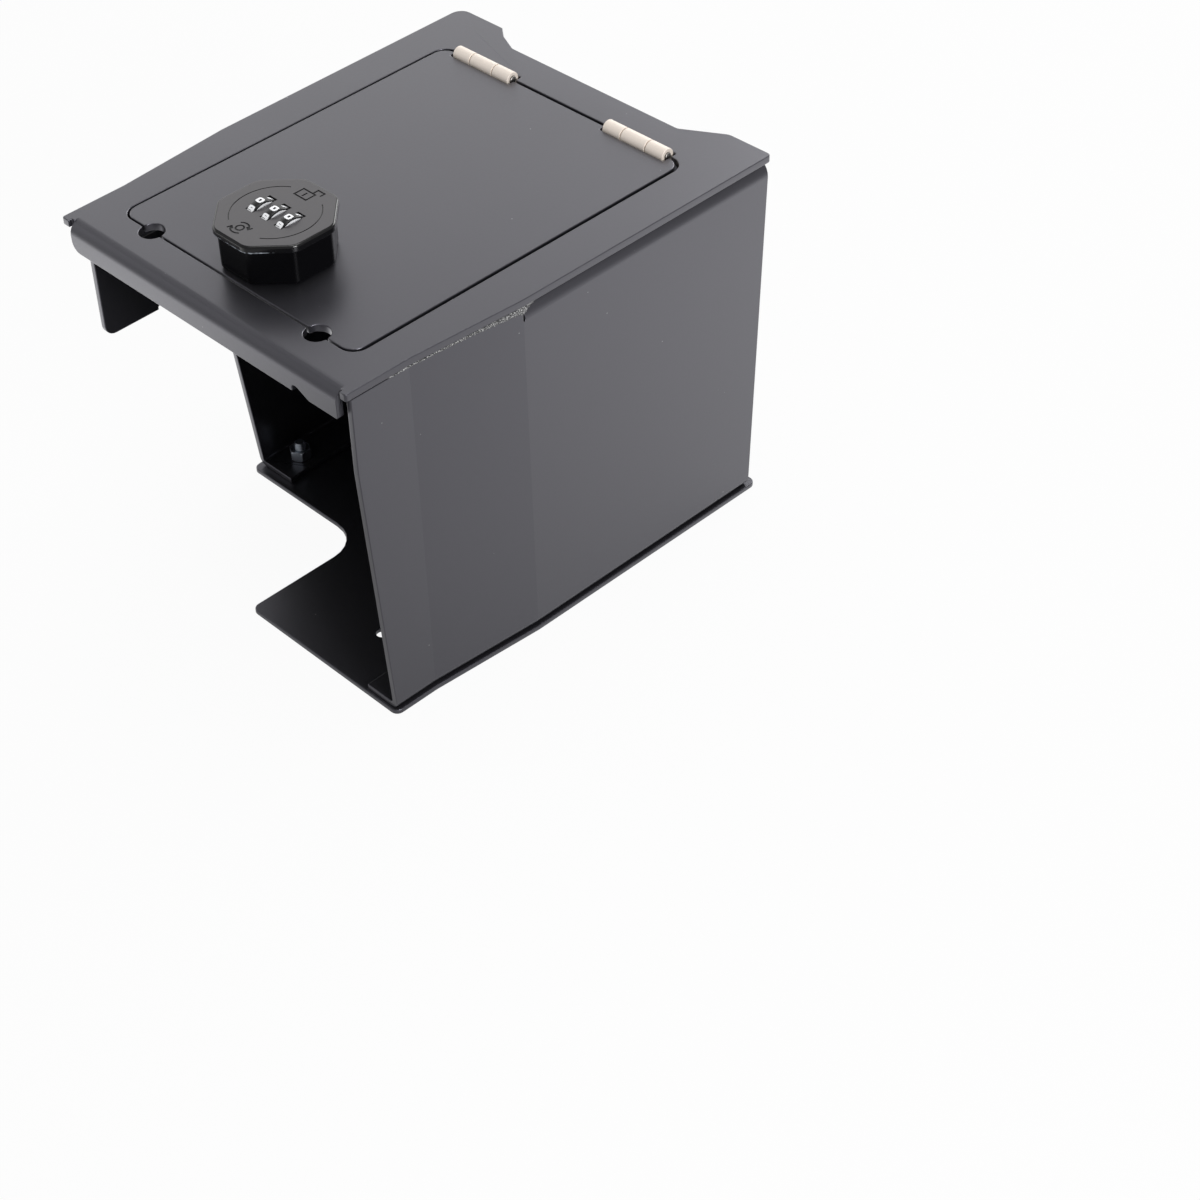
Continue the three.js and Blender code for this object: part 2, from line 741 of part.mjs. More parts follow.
function slice(body, z0, z1) {
  return body.intersect(block(-plateLength, plateLength, -plateLength, plateLength, z0, z1));
}

function makeLid() {
  const outline = rectangle(lidLeft, lidRight, lidFront, lidRear, lidCornerRadius);
  let lid = upright(outline, plateUnder, plateTop);
  for (const x of cableHoles) {
    lid = lid.subtract(cableHoleCutter(x));
  }
  for (const centre of hingeCentres) {
    const front = hingeAxis - barrelRadius - hingeNotchGap;
    lid = lid.subtract(hingeNotchCutter(centre, front, lidRear + 1));
  }
  return lid.subtract(makeLockHole().translate([lockX, lockY, plateTop]));
}

piece('lid', makeLid(), blackCoat, group);

// Hinges: two outer knuckles footed under the plate, a middle one footed under the lid, and a pin

const footTop = -plateThickness - coatGap;

function makeKnuckle(length, side) {
  const half = length / 2;
  const barrel = alongX(circle(0, 0, barrelRadius, smallRoundSteps), -half, half);
  const footUnder = footTop - tangThickness;
  const neckTop = -(pinRadius + barrelRadius) / 2;
  const neck = block(-half, half, -pinRadius, pinRadius, footUnder, neckTop);
  const [near, far] = [-side * pinRadius, side * hingeTang];
  const foot = block(-half, half, Math.min(near, far), Math.max(near, far), footUnder, footTop);
  const bore = alongX(circle(0, 0, pinRadius + pinClearance, smallRoundSteps), -length, length);
  return barrel.add(neck).add(foot).subtract(bore);
}

const outerBody = makeKnuckle(outerKnuckle, 1);
const lidBody = makeKnuckle(middleKnuckle, -1);
const pinBody = alongX(circle(0, 0, pinRadius, smallRoundSteps),
  -hingeLength / 2 - pinHeadLength / 2, hingeLength / 2 + pinHeadLength);
const outerOffset = (middleKnuckle + outerKnuckle) / 2 + knuckleGap;

['left', 'right'].forEach((side, index) => {
  const hinge = new THREE.Group();
  hinge.position.set(hingeCentres[index], hingeAxis, plateTop);
  piece(`${side}_hinge_knuckle_left`, outerBody, nickel, hinge).position.x = -outerOffset;
  piece(`${side}_hinge_knuckle_right`, outerBody, nickel, hinge).position.x = outerOffset;
  piece(`${side}_hinge_lid_knuckle`, lidBody, nickel, hinge);
  piece(`${side}_hinge_pin`, pinBody, nickel, hinge);
  group.add(hinge);
});

// Lock: its own frame stands on the lid's top face, with Z along the axis the knob turns on

const lock = new THREE.Group();
lock.position.set(lockX, lockY, plateTop);
group.add(lock);

const barrelEnd = -plateThickness - barrelReach;
const headTop = coatGap + barrelHeadThickness;
const recessTop = headTop + pieceGap;
const pocketFloor = recessTop + knobWeb;
const axleHeight = pocketFloor + pocketGap + wheelRadius;
const capTop = axleHeight + wheelRadius - wheelProud;
const capUnder = capTop - capThickness;
const bodyTop = capUnder - coatGap;
const pocketHalfLength = wheelPitch + wheelWidth / 2 + coatGap + codeDiscWidth + pieceGap;
const slideFront = wheelRadius + pocketGap + pieceGap;
const slideRear = slideFront + slideThickness;
const discOffset = wheelWidth / 2 + coatGap + codeDiscWidth / 2;
const lockPinY = (slideFront + slideRear) / 2;
const lockPinRadius = slideThickness / 2;
const springFront = wheelRadius + coatGap + springThickness;
const springBack = springFront + springThickness + pieceGap;
const axleHalf = pocketHalfLength + axleSeat;
const wheelPlaces = [-wheelPitch, 0, wheelPitch];
const pinPitDepth = barrelHeadThickness / 2;

function makeBarrel() {
  // The head has two shallow pits for the locking pin, a quarter turn apart.
  const shankTop = headTop - pinPitDepth;
  const shank = slice(doubleFlat(barrelThreadRadius, barrelFlats), barrelEnd, shankTop);
  const head = upright(circle(0, 0, barrelHeadRadius), coatGap, headTop);
  let barrel = shank.add(head);
  const bore = circle(0, 0, spindleRadius + spindleClearance, smallRoundSteps);
  barrel = barrel.subtract(upright(bore, barrelEnd - 1, headTop + 1));
  for (const [x, y] of [[0, lockPinY], [lockPinY, 0]]) {
    const hole = circle(x, y, lockPinRadius + axleClearance, smallRoundSteps / 2);
    barrel = barrel.subtract(upright(hole, headTop - pinPitDepth / 2, headTop + 1));
  }
  return barrel;
}

const washerTop = -plateThickness - coatGap;
const nutTop = washerTop - washerThickness - coatGap;

function makeWasher() {
  const ring = upright(circle(0, 0, washerRadius), washerTop - washerThickness, washerTop);
  return ring.subtract(makeLockHole());
}

piece('lock_barrel', makeBarrel(), castZinc, lock);
piece('lock_washer', makeWasher(), zincPlate, lock);
piece('lock_nut', upright(polygon(6, lockNutAcross), nutTop - lockNutThickness, nutTop,
  [circle(0, 0, barrelThreadRadius + coatGap)]), zincPlate, lock);

const octagon = (across, cornerRadius) => polygon(8, across, cornerRadius);

// Cam levels: its hub hangs below the barrel, and its end rises to just under the lid
const camTop = barrelEnd - pieceGap;
const camEndTop = -plateThickness - camUnderLid;
const spindleShoulder = camTop + coatGap;
const spindleEnd = camTop - camThickness + pieceGap;

function makeKnobBody() {
  let body = stacked([
    [octagon(bodyAcross - 2 * bodyFootBevel, bodyCorner), knobGap],
    [octagon(bodyAcross, bodyCorner), knobGap + bodyFootBevel],
    [octagon(bodyAcross, bodyCorner), bodyTop],
  ]);
  const recess = circle(0, 0, barrelHeadRadius + pieceGap);
  body = body.subtract(upright(recess, 0, recessTop));
  // The pocket holds the wheels, with the detent spring in front of them and the slide behind.
  body = body.subtract(block(-pocketHalfLength, pocketHalfLength, -springBack, slideRear + pieceGap,
    pocketFloor, bodyTop + 1));
  const slotHalf = axleRadius + axleClearance;
  body = body.subtract(block(-axleHalf - pieceGap, axleHalf + pieceGap, -slotHalf, slotHalf,
    axleHeight - slotHalf, bodyTop + 1));
  const pinHole = circle(0, lockPinY, lockPinRadius + axleClearance, smallRoundSteps / 2);
  body = body.subtract(upright(pinHole, 0, pocketFloor + 1));
  const spindleTop = recessTop + knobWeb / 2;
  const round = upright(circle(0, 0, spindleRadius, smallRoundSteps), spindleShoulder, spindleTop);
  const squareHalf = spindleSquare / 2;
  const square = block(-squareHalf, squareHalf, -squareHalf, squareHalf, spindleEnd, spindleShoulder + 1);
  const thread = upright(circle(0, 0, camScrewRadius + coatGap, smallRoundSteps / 2),
    spindleEnd - 1, camTop - camThickness + camScrewDepth + pieceGap);
  return body.add(round).add(square).subtract(thread);
}

function arcBand(middle) {
  // A stretch of the ring groove as an outline, out along its outer edge and back on the inner
  const half = grooveArc * Math.PI / 360;
  const steps = Math.ceil(2 * half / arcStep) * 2;
  const edges = [grooveRadius + grooveWidth / 2, grooveRadius - grooveWidth / 2];
  return edges.flatMap((radius, edge) => Array.from({ length: steps + 1 }, (_, step) => {
    const along = edge === 0 ? step : steps - step;
    const angle = middle - half + 2 * half * along / steps;
    return new THREE.Vector2(radius * Math.cos(angle), radius * Math.sin(angle));
  }));
}

function makeKnobCap() {
  let cap = stacked([
    [octagon(capAcross - capBevel, capCorner), capUnder],
    [octagon(capAcross, capCorner), capUnder + capBevel / 2],
    [octagon(capAcross, capCorner), capTop - capBevel],
    [octagon(capAcross - 2 * capBevel, capCorner), capTop],
  ]);
  // The underside is hollowed for the wheels and, between them, for the code discs.
  const discRoom = circle(0, axleHeight, codeDiscRadius + pieceGap);
  cap = cap.subtract(alongX(discRoom, -pocketHalfLength, pocketHalfLength));
  const wheelRoom = circle(0, axleHeight, wheelRadius + pieceGap);
  for (const place of wheelPlaces) {
    const left = place - slotWidth / 2;
    const right = place + slotWidth / 2;
    const slot = rectangle(left, right, -slotLength / 2, slotLength / 2);
    cap = cap.subtract(upright(slot, capUnder - 1, capTop + 1));
    cap = cap.subtract(alongX(wheelRoom, left, right));
  }
  for (const middle of [0, Math.PI]) {
    cap = cap.subtract(upright(arcBand(middle), capTop - grooveDepth, capTop + 1));
  }
  return cap;
}

piece('knob_body', makeKnobBody(), blackEnamel, lock);
piece('knob_cap', makeKnobCap(), blackEnamel, lock);
piece('dial_axle', alongX(circle(0, 0, axleRadius, smallRoundSteps), -axleHalf, axleHalf),
  springSteel, lock).position.z = axleHeight;

// Dial wheels: ten numeral places parted by grip grooves; a notched code disc turns with each

function makeWheel() {
  const outline = [];
  const groove = 2 * Math.PI / numeralPlaces;
  const sides = [[-0.12, -1], [0.12, -1], [0.2, 0], [0.5, 0], [0.8, 0]];
  for (let place = 0; place < numeralPlaces; place += 1) {
    for (const [share, depth] of sides) {
      const angle = (place + 0.5 + share) * groove + wheelRest;
      const radius = wheelRadius + depth * wheelGrip;
      outline.push(new THREE.Vector2(radius * Math.cos(angle), radius * Math.sin(angle)));
    }
  }
  const bore = circle(0, 0, axleRadius + axleClearance, smallRoundSteps);
  return alongX(outline, -wheelWidth / 2, wheelWidth / 2, [bore]);
}

function makeCodeDisc() {
  const bore = circle(0, 0, axleRadius + axleClearance, smallRoundSteps);
  const round = circle(0, 0, codeDiscRadius, smallRoundSteps);
  const disc = alongX(round, -codeDiscWidth / 2, codeDiscWidth / 2, [bore]);
  const notch = block(-codeDiscWidth, codeDiscWidth, codeDiscRadius - codeNotch, codeDiscRadius + 1,
    -codeNotch / 2, codeNotch / 2);
  return disc.subtract(notch);
}

const wheelBody = makeWheel();
const discBody = makeCodeDisc();
['left', 'middle', 'right'].forEach((side, index) => {
  const wheel = new THREE.Group();
  wheel.position.set(wheelPlaces[index], 0, axleHeight);
  piece(`${side}_dial_wheel`, wheelBody, wheelBlack, wheel);
  piece(`${side}_code_disc`, discBody, discWhite, wheel).position.x = discOffset;
  lock.add(wheel);
});

// Locking slide: its teeth wait beside the code discs, and its pin stands over the barrel's head

function makeLockingSlide() {
  const half = pocketHalfLength - 2 * pieceGap;
  const foot = pocketFloor + pieceGap;
  const head = axleHeight + slideThickness;
  let slide = block(-half, half, slideFront, slideRear, foot, head);
  for (const place of wheelPlaces) {
    const middle = place + discOffset;
    slide = slide.add(block(middle - slideTooth / 2, middle + slideTooth / 2,
      codeDiscRadius + pieceGap, slideFront + slideThickness / 2,
      axleHeight - slideTooth / 2, axleHeight + slideTooth / 2));
  }
  const pin = circle(0, lockPinY, lockPinRadius, smallRoundSteps / 2);
  return slide.add(upright(pin, headTop + pieceGap, foot + 1));
}

// Detent spring: a flat strip in front of the wheels, with a rib for each that clicks over its grooves

function makeDetentSpring() {
  const half = pocketHalfLength - 2 * pieceGap;
  const strip = block(-half, half, -springFront - springThickness, -springFront,
    pocketFloor + pieceGap, axleHeight + wheelGrip * 4);
  return wheelPlaces.reduce((spring, place) => spring.add(block(
    place - wheelWidth / 2, place + wheelWidth / 2, -springFront - springThickness / 2,
    -wheelRadius - coatGap, axleHeight - springThickness, axleHeight + springThickness)), strip);
}

piece('locking_slide', makeLockingSlide(), springSteel, lock);
piece('detent_spring', makeDetentSpring(), springSteel, lock);

// Cam: a cranked bar on the squared end of the spindle, held by one screw

function makeCam() {
  const line = [
    [-camWidth / 2, camTop], [camRise, camTop], [camFlat, camEndTop], [camReach, camEndTop],
  ];
  const section = sheetSection(line.reverse(), camThickness, camThickness + 1);
  const half = camWidth / 2;
  const plan = rounded([
    [-half, -half, half * 0.9],
    [camReach, -half, camCorner],
    [camReach, half, camCorner],
    [-half, half, half * 0.9],
  ]);
  const bar = alongY(section, -half, half).intersect(upright(plan, barrelEnd - camWidth, 0));
  const hole = spindleSquare / 2 + coatGap;
  return bar.subtract(block(-hole, hole, -hole, hole, barrelEnd - camWidth, 0));
}

const screwSeat = camTop - camThickness - coatGap;
const camScrew = turned([
  [0, screwSeat - camScrewHeadHeight],
  [camScrewHead - 1, screwSeat - camScrewHeadHeight],
  [camScrewHead, screwSeat - camScrewHeadHeight + 1],
  [camScrewHead, screwSeat],
  [camScrewRadius, screwSeat],
  [camScrewRadius, screwSeat + camScrewDepth],
  [0, screwSeat + camScrewDepth],
], smallRoundSteps);

piece('cam_bar', makeCam(), zincPlate, lock);
piece('cam_screw', camScrew, zincPlate, lock);

export default group;
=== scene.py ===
"""Looks of the console safe: coated sheet steel, nickel hinges, a glossy combination knob.

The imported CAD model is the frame. Sheet pieces are finished copies of its nodes with rounded
edges; the knob cap, dial wheels, pins, screws, nuts and the lock's barrel are new surfaces.
Lengths are in millimetres in the formulas and become metres when a mesh is made.
"""

import json

import bmesh
import bpy
import numpy as np
from mathutils import Matrix, Vector


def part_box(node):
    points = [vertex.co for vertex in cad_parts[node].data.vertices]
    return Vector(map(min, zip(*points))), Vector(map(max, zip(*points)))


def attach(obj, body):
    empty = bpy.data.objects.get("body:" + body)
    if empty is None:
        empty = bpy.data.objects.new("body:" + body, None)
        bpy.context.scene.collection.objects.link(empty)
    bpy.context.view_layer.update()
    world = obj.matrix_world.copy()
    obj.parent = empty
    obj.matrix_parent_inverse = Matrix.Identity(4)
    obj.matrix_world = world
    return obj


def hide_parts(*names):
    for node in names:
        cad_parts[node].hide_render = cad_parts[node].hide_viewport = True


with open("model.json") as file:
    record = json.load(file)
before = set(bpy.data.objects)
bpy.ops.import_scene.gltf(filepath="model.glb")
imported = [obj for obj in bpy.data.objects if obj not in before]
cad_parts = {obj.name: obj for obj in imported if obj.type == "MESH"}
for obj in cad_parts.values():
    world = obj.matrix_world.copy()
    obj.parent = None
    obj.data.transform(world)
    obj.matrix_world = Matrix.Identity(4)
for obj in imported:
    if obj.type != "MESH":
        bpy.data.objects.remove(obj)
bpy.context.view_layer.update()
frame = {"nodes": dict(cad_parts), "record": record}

MM = 0.001
BODY_OF = {node: body for body, nodes in frame["record"]["behaviour"]["bodies"].items()
           for node in nodes}

# The camera that took the photograph, worked out from the safe's square corners; its place
# in millimetres, its turns in degrees
CAMERA_PLACE = (622.847, -512.133, 657.402)
CAMERA_AZIMUTH = 51.309
CAMERA_ELEVATION = 41.199
CAMERA_ROLL = -5.011
FOCAL_PIXELS = 2607.53
PRINCIPAL_X = 420.0
IMAGE_SIZE = 1200.0
SENSOR = 36.0

# Direction of the backdrop's middle, and how bright it and the rest of the room are
BACKDROP = (-0.9, 0.436, 0.0)
BRIGHT_BACKDROP = 1.27
DIM_ROOM = 0.33
COOL_SHEEN = (0.82, 0.8, 1.0, 1.0)

DIALS = ("left", "middle", "right")
NUMERALS = 10
NUMERAL_SHIFT = 0.38

# The middle knuckles are this much of their length in the CAD frame, which opens the gaps
# beside them
KNUCKLE_SHARE = 0.965

# Gap left round the parts that move inside the knob
PLAY = 0.3

# Numerals as rows of three cells, from the top down
DIGITS = ("### #.# #.# #.# ###", ".#. .#. .#. .#. .#.", "### ..# ### #.. ###",
          "### ..# ### ..# ###", "#.# #.# ### ..# ..#", "### #.. ### ..# ###",
          "### #.. ### #.# ###", "### ..# ..# ..# ..#", "### #.# ### #.# ###",
          "### #.# ### ..# ###")


def box_mm(node):
    """Lowest and highest corner of a CAD node in millimetres."""
    low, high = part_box(node)
    return np.array(low) / MM, np.array(high) / MM


def centre_mm(node):
    low, high = box_mm(node)
    return (low + high) / 2


CAP_LOW, CAP_HIGH = box_mm("knob_cap")
CAP_CENTRE = (CAP_LOW + CAP_HIGH) / 2
PLATE_RIGHT, _, PLATE_TOP = box_mm("top_plate")[1]
PLATE_UNDER = box_mm("lid")[0][2]

# What of a point stays in plan, and the order of coordinates that lays a shape turned about Z
# along X
IN_PLAN = np.array([1, 1, 0])
ALONG_X = [2, 0, 1]


# Settings

def length(name, text, default):
    return bpy.props.FloatProperty(name=name, description=text, default=default * MM,
                                   min=0.0, precision=5, subtype="DISTANCE", unit="LENGTH")


def colour(name, text, default):
    return bpy.props.StringProperty(name=name, description=text, default=default)


class ConsoleSafeSizes(bpy.types.PropertyGroup):
    """Sizes that finish the pieces; the CAD frame gives all the others."""
    sheet_edge: length("Sheet edge", "Round of the coated edges of the sheets", 0.36)
    fold_width: length("Fold width", "Width of the soft folds in the side panels", 7.0)
    small_edge: length("Small edge", "Round of the edges of small metal parts", 0.2)
    cap_fillet: length("Cap fillet", "Round of the knob cap's upper rim", 0.9)
    cap_under: length("Cap under fillet", "Round of the knob cap's lower rim", 0.5)
    engraving_width: length("Engraving width", "Width of the engraved signs' lines", 0.68)
    engraving_depth: length("Engraving depth", "Depth of the engraved signs", 0.25)
    groove_radius: length("Groove radius", "Radius of the ring groove in the cap", 16.4)
    groove_width: length("Groove width", "Width of the ring groove in the cap", 0.42)
    groove_depth: length("Groove depth", "Depth of the ring groove in the cap", 0.2)
    numeral_height: length("Numeral height", "Height of the numerals on the wheels", 2.8)
    numeral_width: length("Numeral width", "Width of a numeral", 2.75)
    numeral_stroke: length("Numeral stroke", "Width of a numeral's strokes", 0.8)
    thread_pitch: length("Thread pitch", "Pitch of the floor screws", 0.8)
    barrel_pitch: length("Barrel pitch", "Pitch of the lock barrel's thread", 1.0)


class ConsoleSafeColours(bpy.types.PropertyGroup):
    """Colours of the finishes as sRGB hex values."""
    coat: colour("Powder coat", "Satin black powder coat", "#1b1b1d")
    coat_light: colour("Powder coat, light", "The coat's lighter patches", "#1f1f22")
    weld: colour("Weld", "Pale crests of the weld bead", "#bcbcbc")
    dust: colour("Dust", "Specks of dust on the coat", "#a8a8a6")
    nickel: colour("Nickel", "Nickel plating of the hinges", "#fff3e7")
    zinc: colour("Zinc", "Zinc plating of screws and nuts", "#b7bec8")
    enamel: colour("Enamel", "Gloss black of the knob", "#08080a")
    # Lighter than the enamel: a painted sheen on the cap's satin top
    cap_top: colour("Cap top", "Satin top of the knob's cap", "#424043")
    wheel: colour("Wheel", "Black of the dial wheels", "#101012")
    numeral: colour("Numeral", "White of the numerals and discs", "#fbfcff")
    die_cast: colour("Die-cast zinc", "Grey of the lock's barrel", "#8f9193")
    spring: colour("Spring steel", "Steel inside the lock", "#9b9894")
    floor: colour("Floor", "Studio floor", "#cfcfcf")


def sizes():
    return bpy.context.scene.console_safe_sizes


def colours():
    return bpy.context.scene.console_safe_colours


# Surfaces

def skin(rings, closed_along=False):
    """Joins rings of points, each as long, into a closed surface.

    rings[i, j] is the point at step i along and j around; each face joins (i, j), (i, j+1),
    (i+1, j+1) and (i+1, j). The ends are closed by one face each, or the last ring joins the
    first where closed_along is set.
    """
    count, around, _ = rings.shape
    last = count if closed_along else count - 1
    i, j = np.meshgrid(np.arange(last), np.arange(around), indexing="ij")
    ahead, beside = (i + 1) % count, (j + 1) % around
    quads = np.stack([i * around + j, i * around + beside,
                      ahead * around + beside, ahead * around + j], -1).reshape(-1, 4)
    faces = quads.tolist()
    if not closed_along:
        faces.append(np.arange(around)[::-1].tolist())
        faces.append((np.arange(around) + (count - 1) * around).tolist())
    return rings.reshape(-1, 3), faces


def octagon(apothem, corner, steps=9):
    """Points of an octagon with a flat to +X, its corners rounded about fixed centres.

    Corner k has its centre at (apothem - corner) / cos(22.5 deg), and its arc runs 22.5 deg to
    either side of the corner's own direction.
    """
    middle = (np.arange(8) + 0.5) * np.pi / 4
    spread = np.linspace(-np.pi / 8, np.pi / 8, steps)
    centre = (apothem - corner) / np.cos(np.pi / 8)
    angle = middle[:, None] + spread[None, :]
    x = centre * np.cos(middle)[:, None] + corner * np.cos(angle)
    y = centre * np.sin(middle)[:, None] + corner * np.sin(angle)
    return np.stack([x.ravel(), y.ravel()], -1)


def arc(centre_a, centre_b, radius, start, end, steps=8):
    """Points (a, b) = centre + radius * (cos t, sin t), with t from start to end in degrees."""
    t = np.radians(np.linspace(start, end, steps))
    return np.stack([centre_a + radius * np.cos(t), centre_b + radius * np.sin(t)], -1)


def full_turn(steps):
    """Angles t of one turn, its end left out."""
    return np.linspace(0, 2 * np.pi, steps, endpoint=False)


UNIT_CIRCLE = np.column_stack([np.cos(full_turn(64)), np.sin(full_turn(64))])


def turned(radius, height, t):
    """Points (r cos t, r sin t, z): a ring for each row of radii and heights."""
    return np.stack([radius * np.cos(t), radius * np.sin(t), height + 0 * t], -1)


def turned_profile(profile, t):
    """Rings about Z for a profile of (radius, height)."""
    profile = np.asarray(profile, float)
    return turned(profile[:, :1], profile[:, 1:], t)


def level(outline, z):
    """An outline in plan as a ring of points at one height."""
    return np.column_stack([outline, np.full(len(outline), z)])


def prism(outline, low, high):
    """A closed solid of one outline in plan at two heights."""
    return skin(np.stack([level(outline, low), level(outline, high)]))


def mesh_of(name, points, faces):
    """A mesh of points in millimetres."""
    mesh = bpy.data.meshes.new(name)
    mesh.from_pydata((points * MM).tolist(), [], faces)
    return mesh


def linked(name, data):
    """A new object in the scene with this mesh, lamp or camera."""
    made = bpy.data.objects.new(name, data)
    bpy.context.scene.collection.objects.link(made)
    return made


def piece(name, shells, node, material, sharp=30.0, stands_in=True):
    """Makes one object of shells of (points in mm, faces), for a CAD node or beside it."""
    points, faces, start = [], [], 0
    for shell_points, shell_faces in shells:
        points.append(shell_points)
        faces += [[corner + start for corner in face] for face in shell_faces]
        start += len(shell_points)
    mesh = mesh_of(name, np.concatenate(points), faces)
    made = place(name, mesh, node, material, stands_in)
    smooth(mesh, sharp)
    return made


def place(name, mesh, node, material, stands_in=True):
    """Links a mesh as an object at the origin that rides on a CAD node's body, and replaces the
    node where it stands in for it."""
    for each in material if isinstance(material, list) else [material]:
        mesh.materials.append(each)
    made = linked(name, mesh)
    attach(made, BODY_OF[node])
    if stands_in:
        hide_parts(node)
    return made


def smooth(mesh, angle=30.0):
    """Smooth shading, with an edge left sharp where its faces turn by more than the angle."""
    mesh.shade_smooth()
    mesh.set_sharp_from_angle(angle=np.radians(angle))


def mark_sharp(bm, angle=30.0, needle=20.0):
    """Gives the sharp edges a bevel weight of one, or none where two of them meet in a needle.

    An edge is sharp where its faces turn by more than the angle. Two that leave one corner
    less than the needle's angle apart would throw a rounded corner far out of the piece.
    """
    weight = bm.edges.layers.float.new("bevel_weight_edge")
    sharp = [edge for edge in bm.edges
             if len(edge.link_faces) == 2 and edge.calc_face_angle() > np.radians(angle)]
    for edge in sharp:
        edge[weight] = 1.0
    chosen = set(sharp)
    for vert in bm.verts:
        spokes = [edge for edge in vert.link_edges if edge in chosen]
        ways = [edge.other_vert(vert).co - vert.co for edge in spokes]
        for i, j in zip(*np.triu_indices(len(spokes), 1)):
            if ways[i].angle(ways[j], np.pi) < np.radians(needle):
                spokes[i][weight] = spokes[j][weight] = 0.0


def flat_shading(made, weight=50):
    """Keeps large faces flat in the shading."""
    shading = made.modifiers.new("Flat faces", "WEIGHTED_NORMAL")
    shading.keep_sharp = True
    shading.weight = weight


def soften(made, width):
    """Rounds the marked edges."""
    made.data.shade_smooth()
    bevel = made.modifiers.new("Rounded edges", "BEVEL")
    bevel.width = width
    bevel.segments = 2
    bevel.limit_method = "WEIGHT"
    bevel.use_clamp_overlap = False
    bevel.miter_outer = "MITER_ARC"
    flat_shading(made, 100)


def merged_copy(node):
    """A copy of a CAD node's mesh with its loose triangles joined and flat faces made whole."""
    bm = bmesh.new()
    bm.from_mesh(frame["nodes"][node].data)
    bmesh.ops.remove_doubles(bm, verts=bm.verts, dist=0.002 * MM)
    bmesh.ops.dissolve_limit(bm, angle_limit=np.radians(0.4), verts=bm.verts, edges=bm.edges)
    return bm


def soft_folds(bm, width, least=3.0, most=6.0):
    """Rounds the upright folds of a side panel, which turn by 3 to 6 degrees."""
    low, high = np.radians([least, most])
    folds = [edge for edge in bm.edges
             if len(edge.link_faces) == 2 and low < edge.calc_face_angle() < high
             and abs(edge.verts[0].co.y - edge.verts[1].co.y) < 0.1 * edge.calc_length()]
    bmesh.ops.bevel(bm, geom=folds, offset=width / 2, offset_type="OFFSET", segments=3,
                    profile=0.5, affect="EDGES", clamp_overlap=True)


def finished(node, material, width, fold=0.0):
    """A finished copy of a CAD node: the same solid with its edges rounded."""
    bm = merged_copy(node)
    if fold:
        soft_folds(bm, fold)
    mark_sharp(bm)
    mesh = bpy.data.meshes.new(node + "_finished")
    bm.to_mesh(mesh)
    bm.free()
    made = place(node + "_finished", mesh, node, material)
    soften(made, width)
    return made


def applied(made):
    """Replaces an object's mesh by what its modifiers make of it."""
    bpy.context.view_layer.update()
    graph = bpy.context.evaluated_depsgraph_get()
    mesh = bpy.data.meshes.new_from_object(made.evaluated_get(graph))
    made.modifiers.clear()
    made.data = mesh


# Materials

def linear(text, share=1.0):
    """An sRGB hex colour as linear red, green, blue and alpha, times a share."""
    value = np.array([int(text[i:i + 2], 16) for i in (1, 3, 5)]) / 255
    value = np.where(value <= 0.04045, value / 12.92, ((value + 0.055) / 1.055) ** 2.4)
    return (*(share * value).tolist(), 1.0)


def add(tree, kind, inputs=None, **settings):
    """Adds a shader node with its settings. A value that is a socket makes a link, and so does
    a node, from its first output in use."""
    made = tree.nodes.new("ShaderNode" + kind)
    for key, value in settings.items():
        setattr(made, key, value)
    for key, value in (inputs or {}).items():
        if isinstance(value, bpy.types.Node):
            value = next(output for output in value.outputs if output.enabled)
        if isinstance(value, bpy.types.NodeSocket):
            tree.links.new(value, made.inputs[key])
        else:
            made.inputs[key].default_value = value
    return made


def material(name):
    """An empty material, its tree, and the object coordinates that its patterns read."""
    made = bpy.data.materials.get(name)
    if made:
        return made, None, None
    made = bpy.data.materials.new(name)
    made.use_nodes = True
    tree = made.node_tree
    tree.nodes.clear()
    return made, tree, add(tree, "TexCoord").outputs["Object"]


def finish_material(made, values):
    """Gives a material its Principled surface with these values."""
    tree = made.node_tree
    add(tree, "OutputMaterial", {"Surface": add(tree, "BsdfPrincipled", values)})
    return made


def powder_coat():
    """Polyester powder coat on sheet steel, sprayed and baked: black under a smooth skin that
    mirrors the studio softly, with a fine orange peel, slight waves and a few specks of dust."""
    made, tree, place_of = material("Satin black powder coat on steel")
    if not tree:
        return made
    chosen = colours()
    peel = add(tree, "TexNoise", {"Vector": place_of, "Scale": 1 / (1.1 * MM), "Detail": 2.0})
    wave = add(tree, "TexNoise", {"Vector": place_of, "Scale": 1 / (55 * MM), "Detail": 1.0})
    tone = add(tree, "Mix", {"Factor": wave, "A": linear(chosen.coat),
                             "B": linear(chosen.coat_light)}, data_type="RGBA")
    specks = add(tree, "TexVoronoi", {"Vector": place_of, "Scale": 1 / (11 * MM)})
    dust = add(tree, "MapRange", {"Value": specks.outputs["Distance"], "From Min": 0.016,
                                  "From Max": 0.026, "To Min": 0.7, "To Max": 0.0})
    base = add(tree, "Mix", {"Factor": dust, "A": tone, "B": linear(chosen.dust)},
               data_type="RGBA")
    gloss = add(tree, "MapRange", {"Value": peel, "To Min": 0.3, "To Max": 0.4})
    swell = add(tree, "Bump", {"Height": wave, "Distance": 0.1 * MM, "Strength": 1.0})
    bump = add(tree, "Bump", {"Height": peel, "Distance": 0.008 * MM, "Strength": 1.0,
                              "Normal": swell})
    return finish_material(made, {
        "Base Color": base, "Roughness": gloss, "Specular IOR Level": 1.0,
        "Specular Tint": COOL_SHEEN, "Coat Weight": 1.0, "Coat Roughness": 0.32,
        "Normal": bump, "Coat Normal": bump})


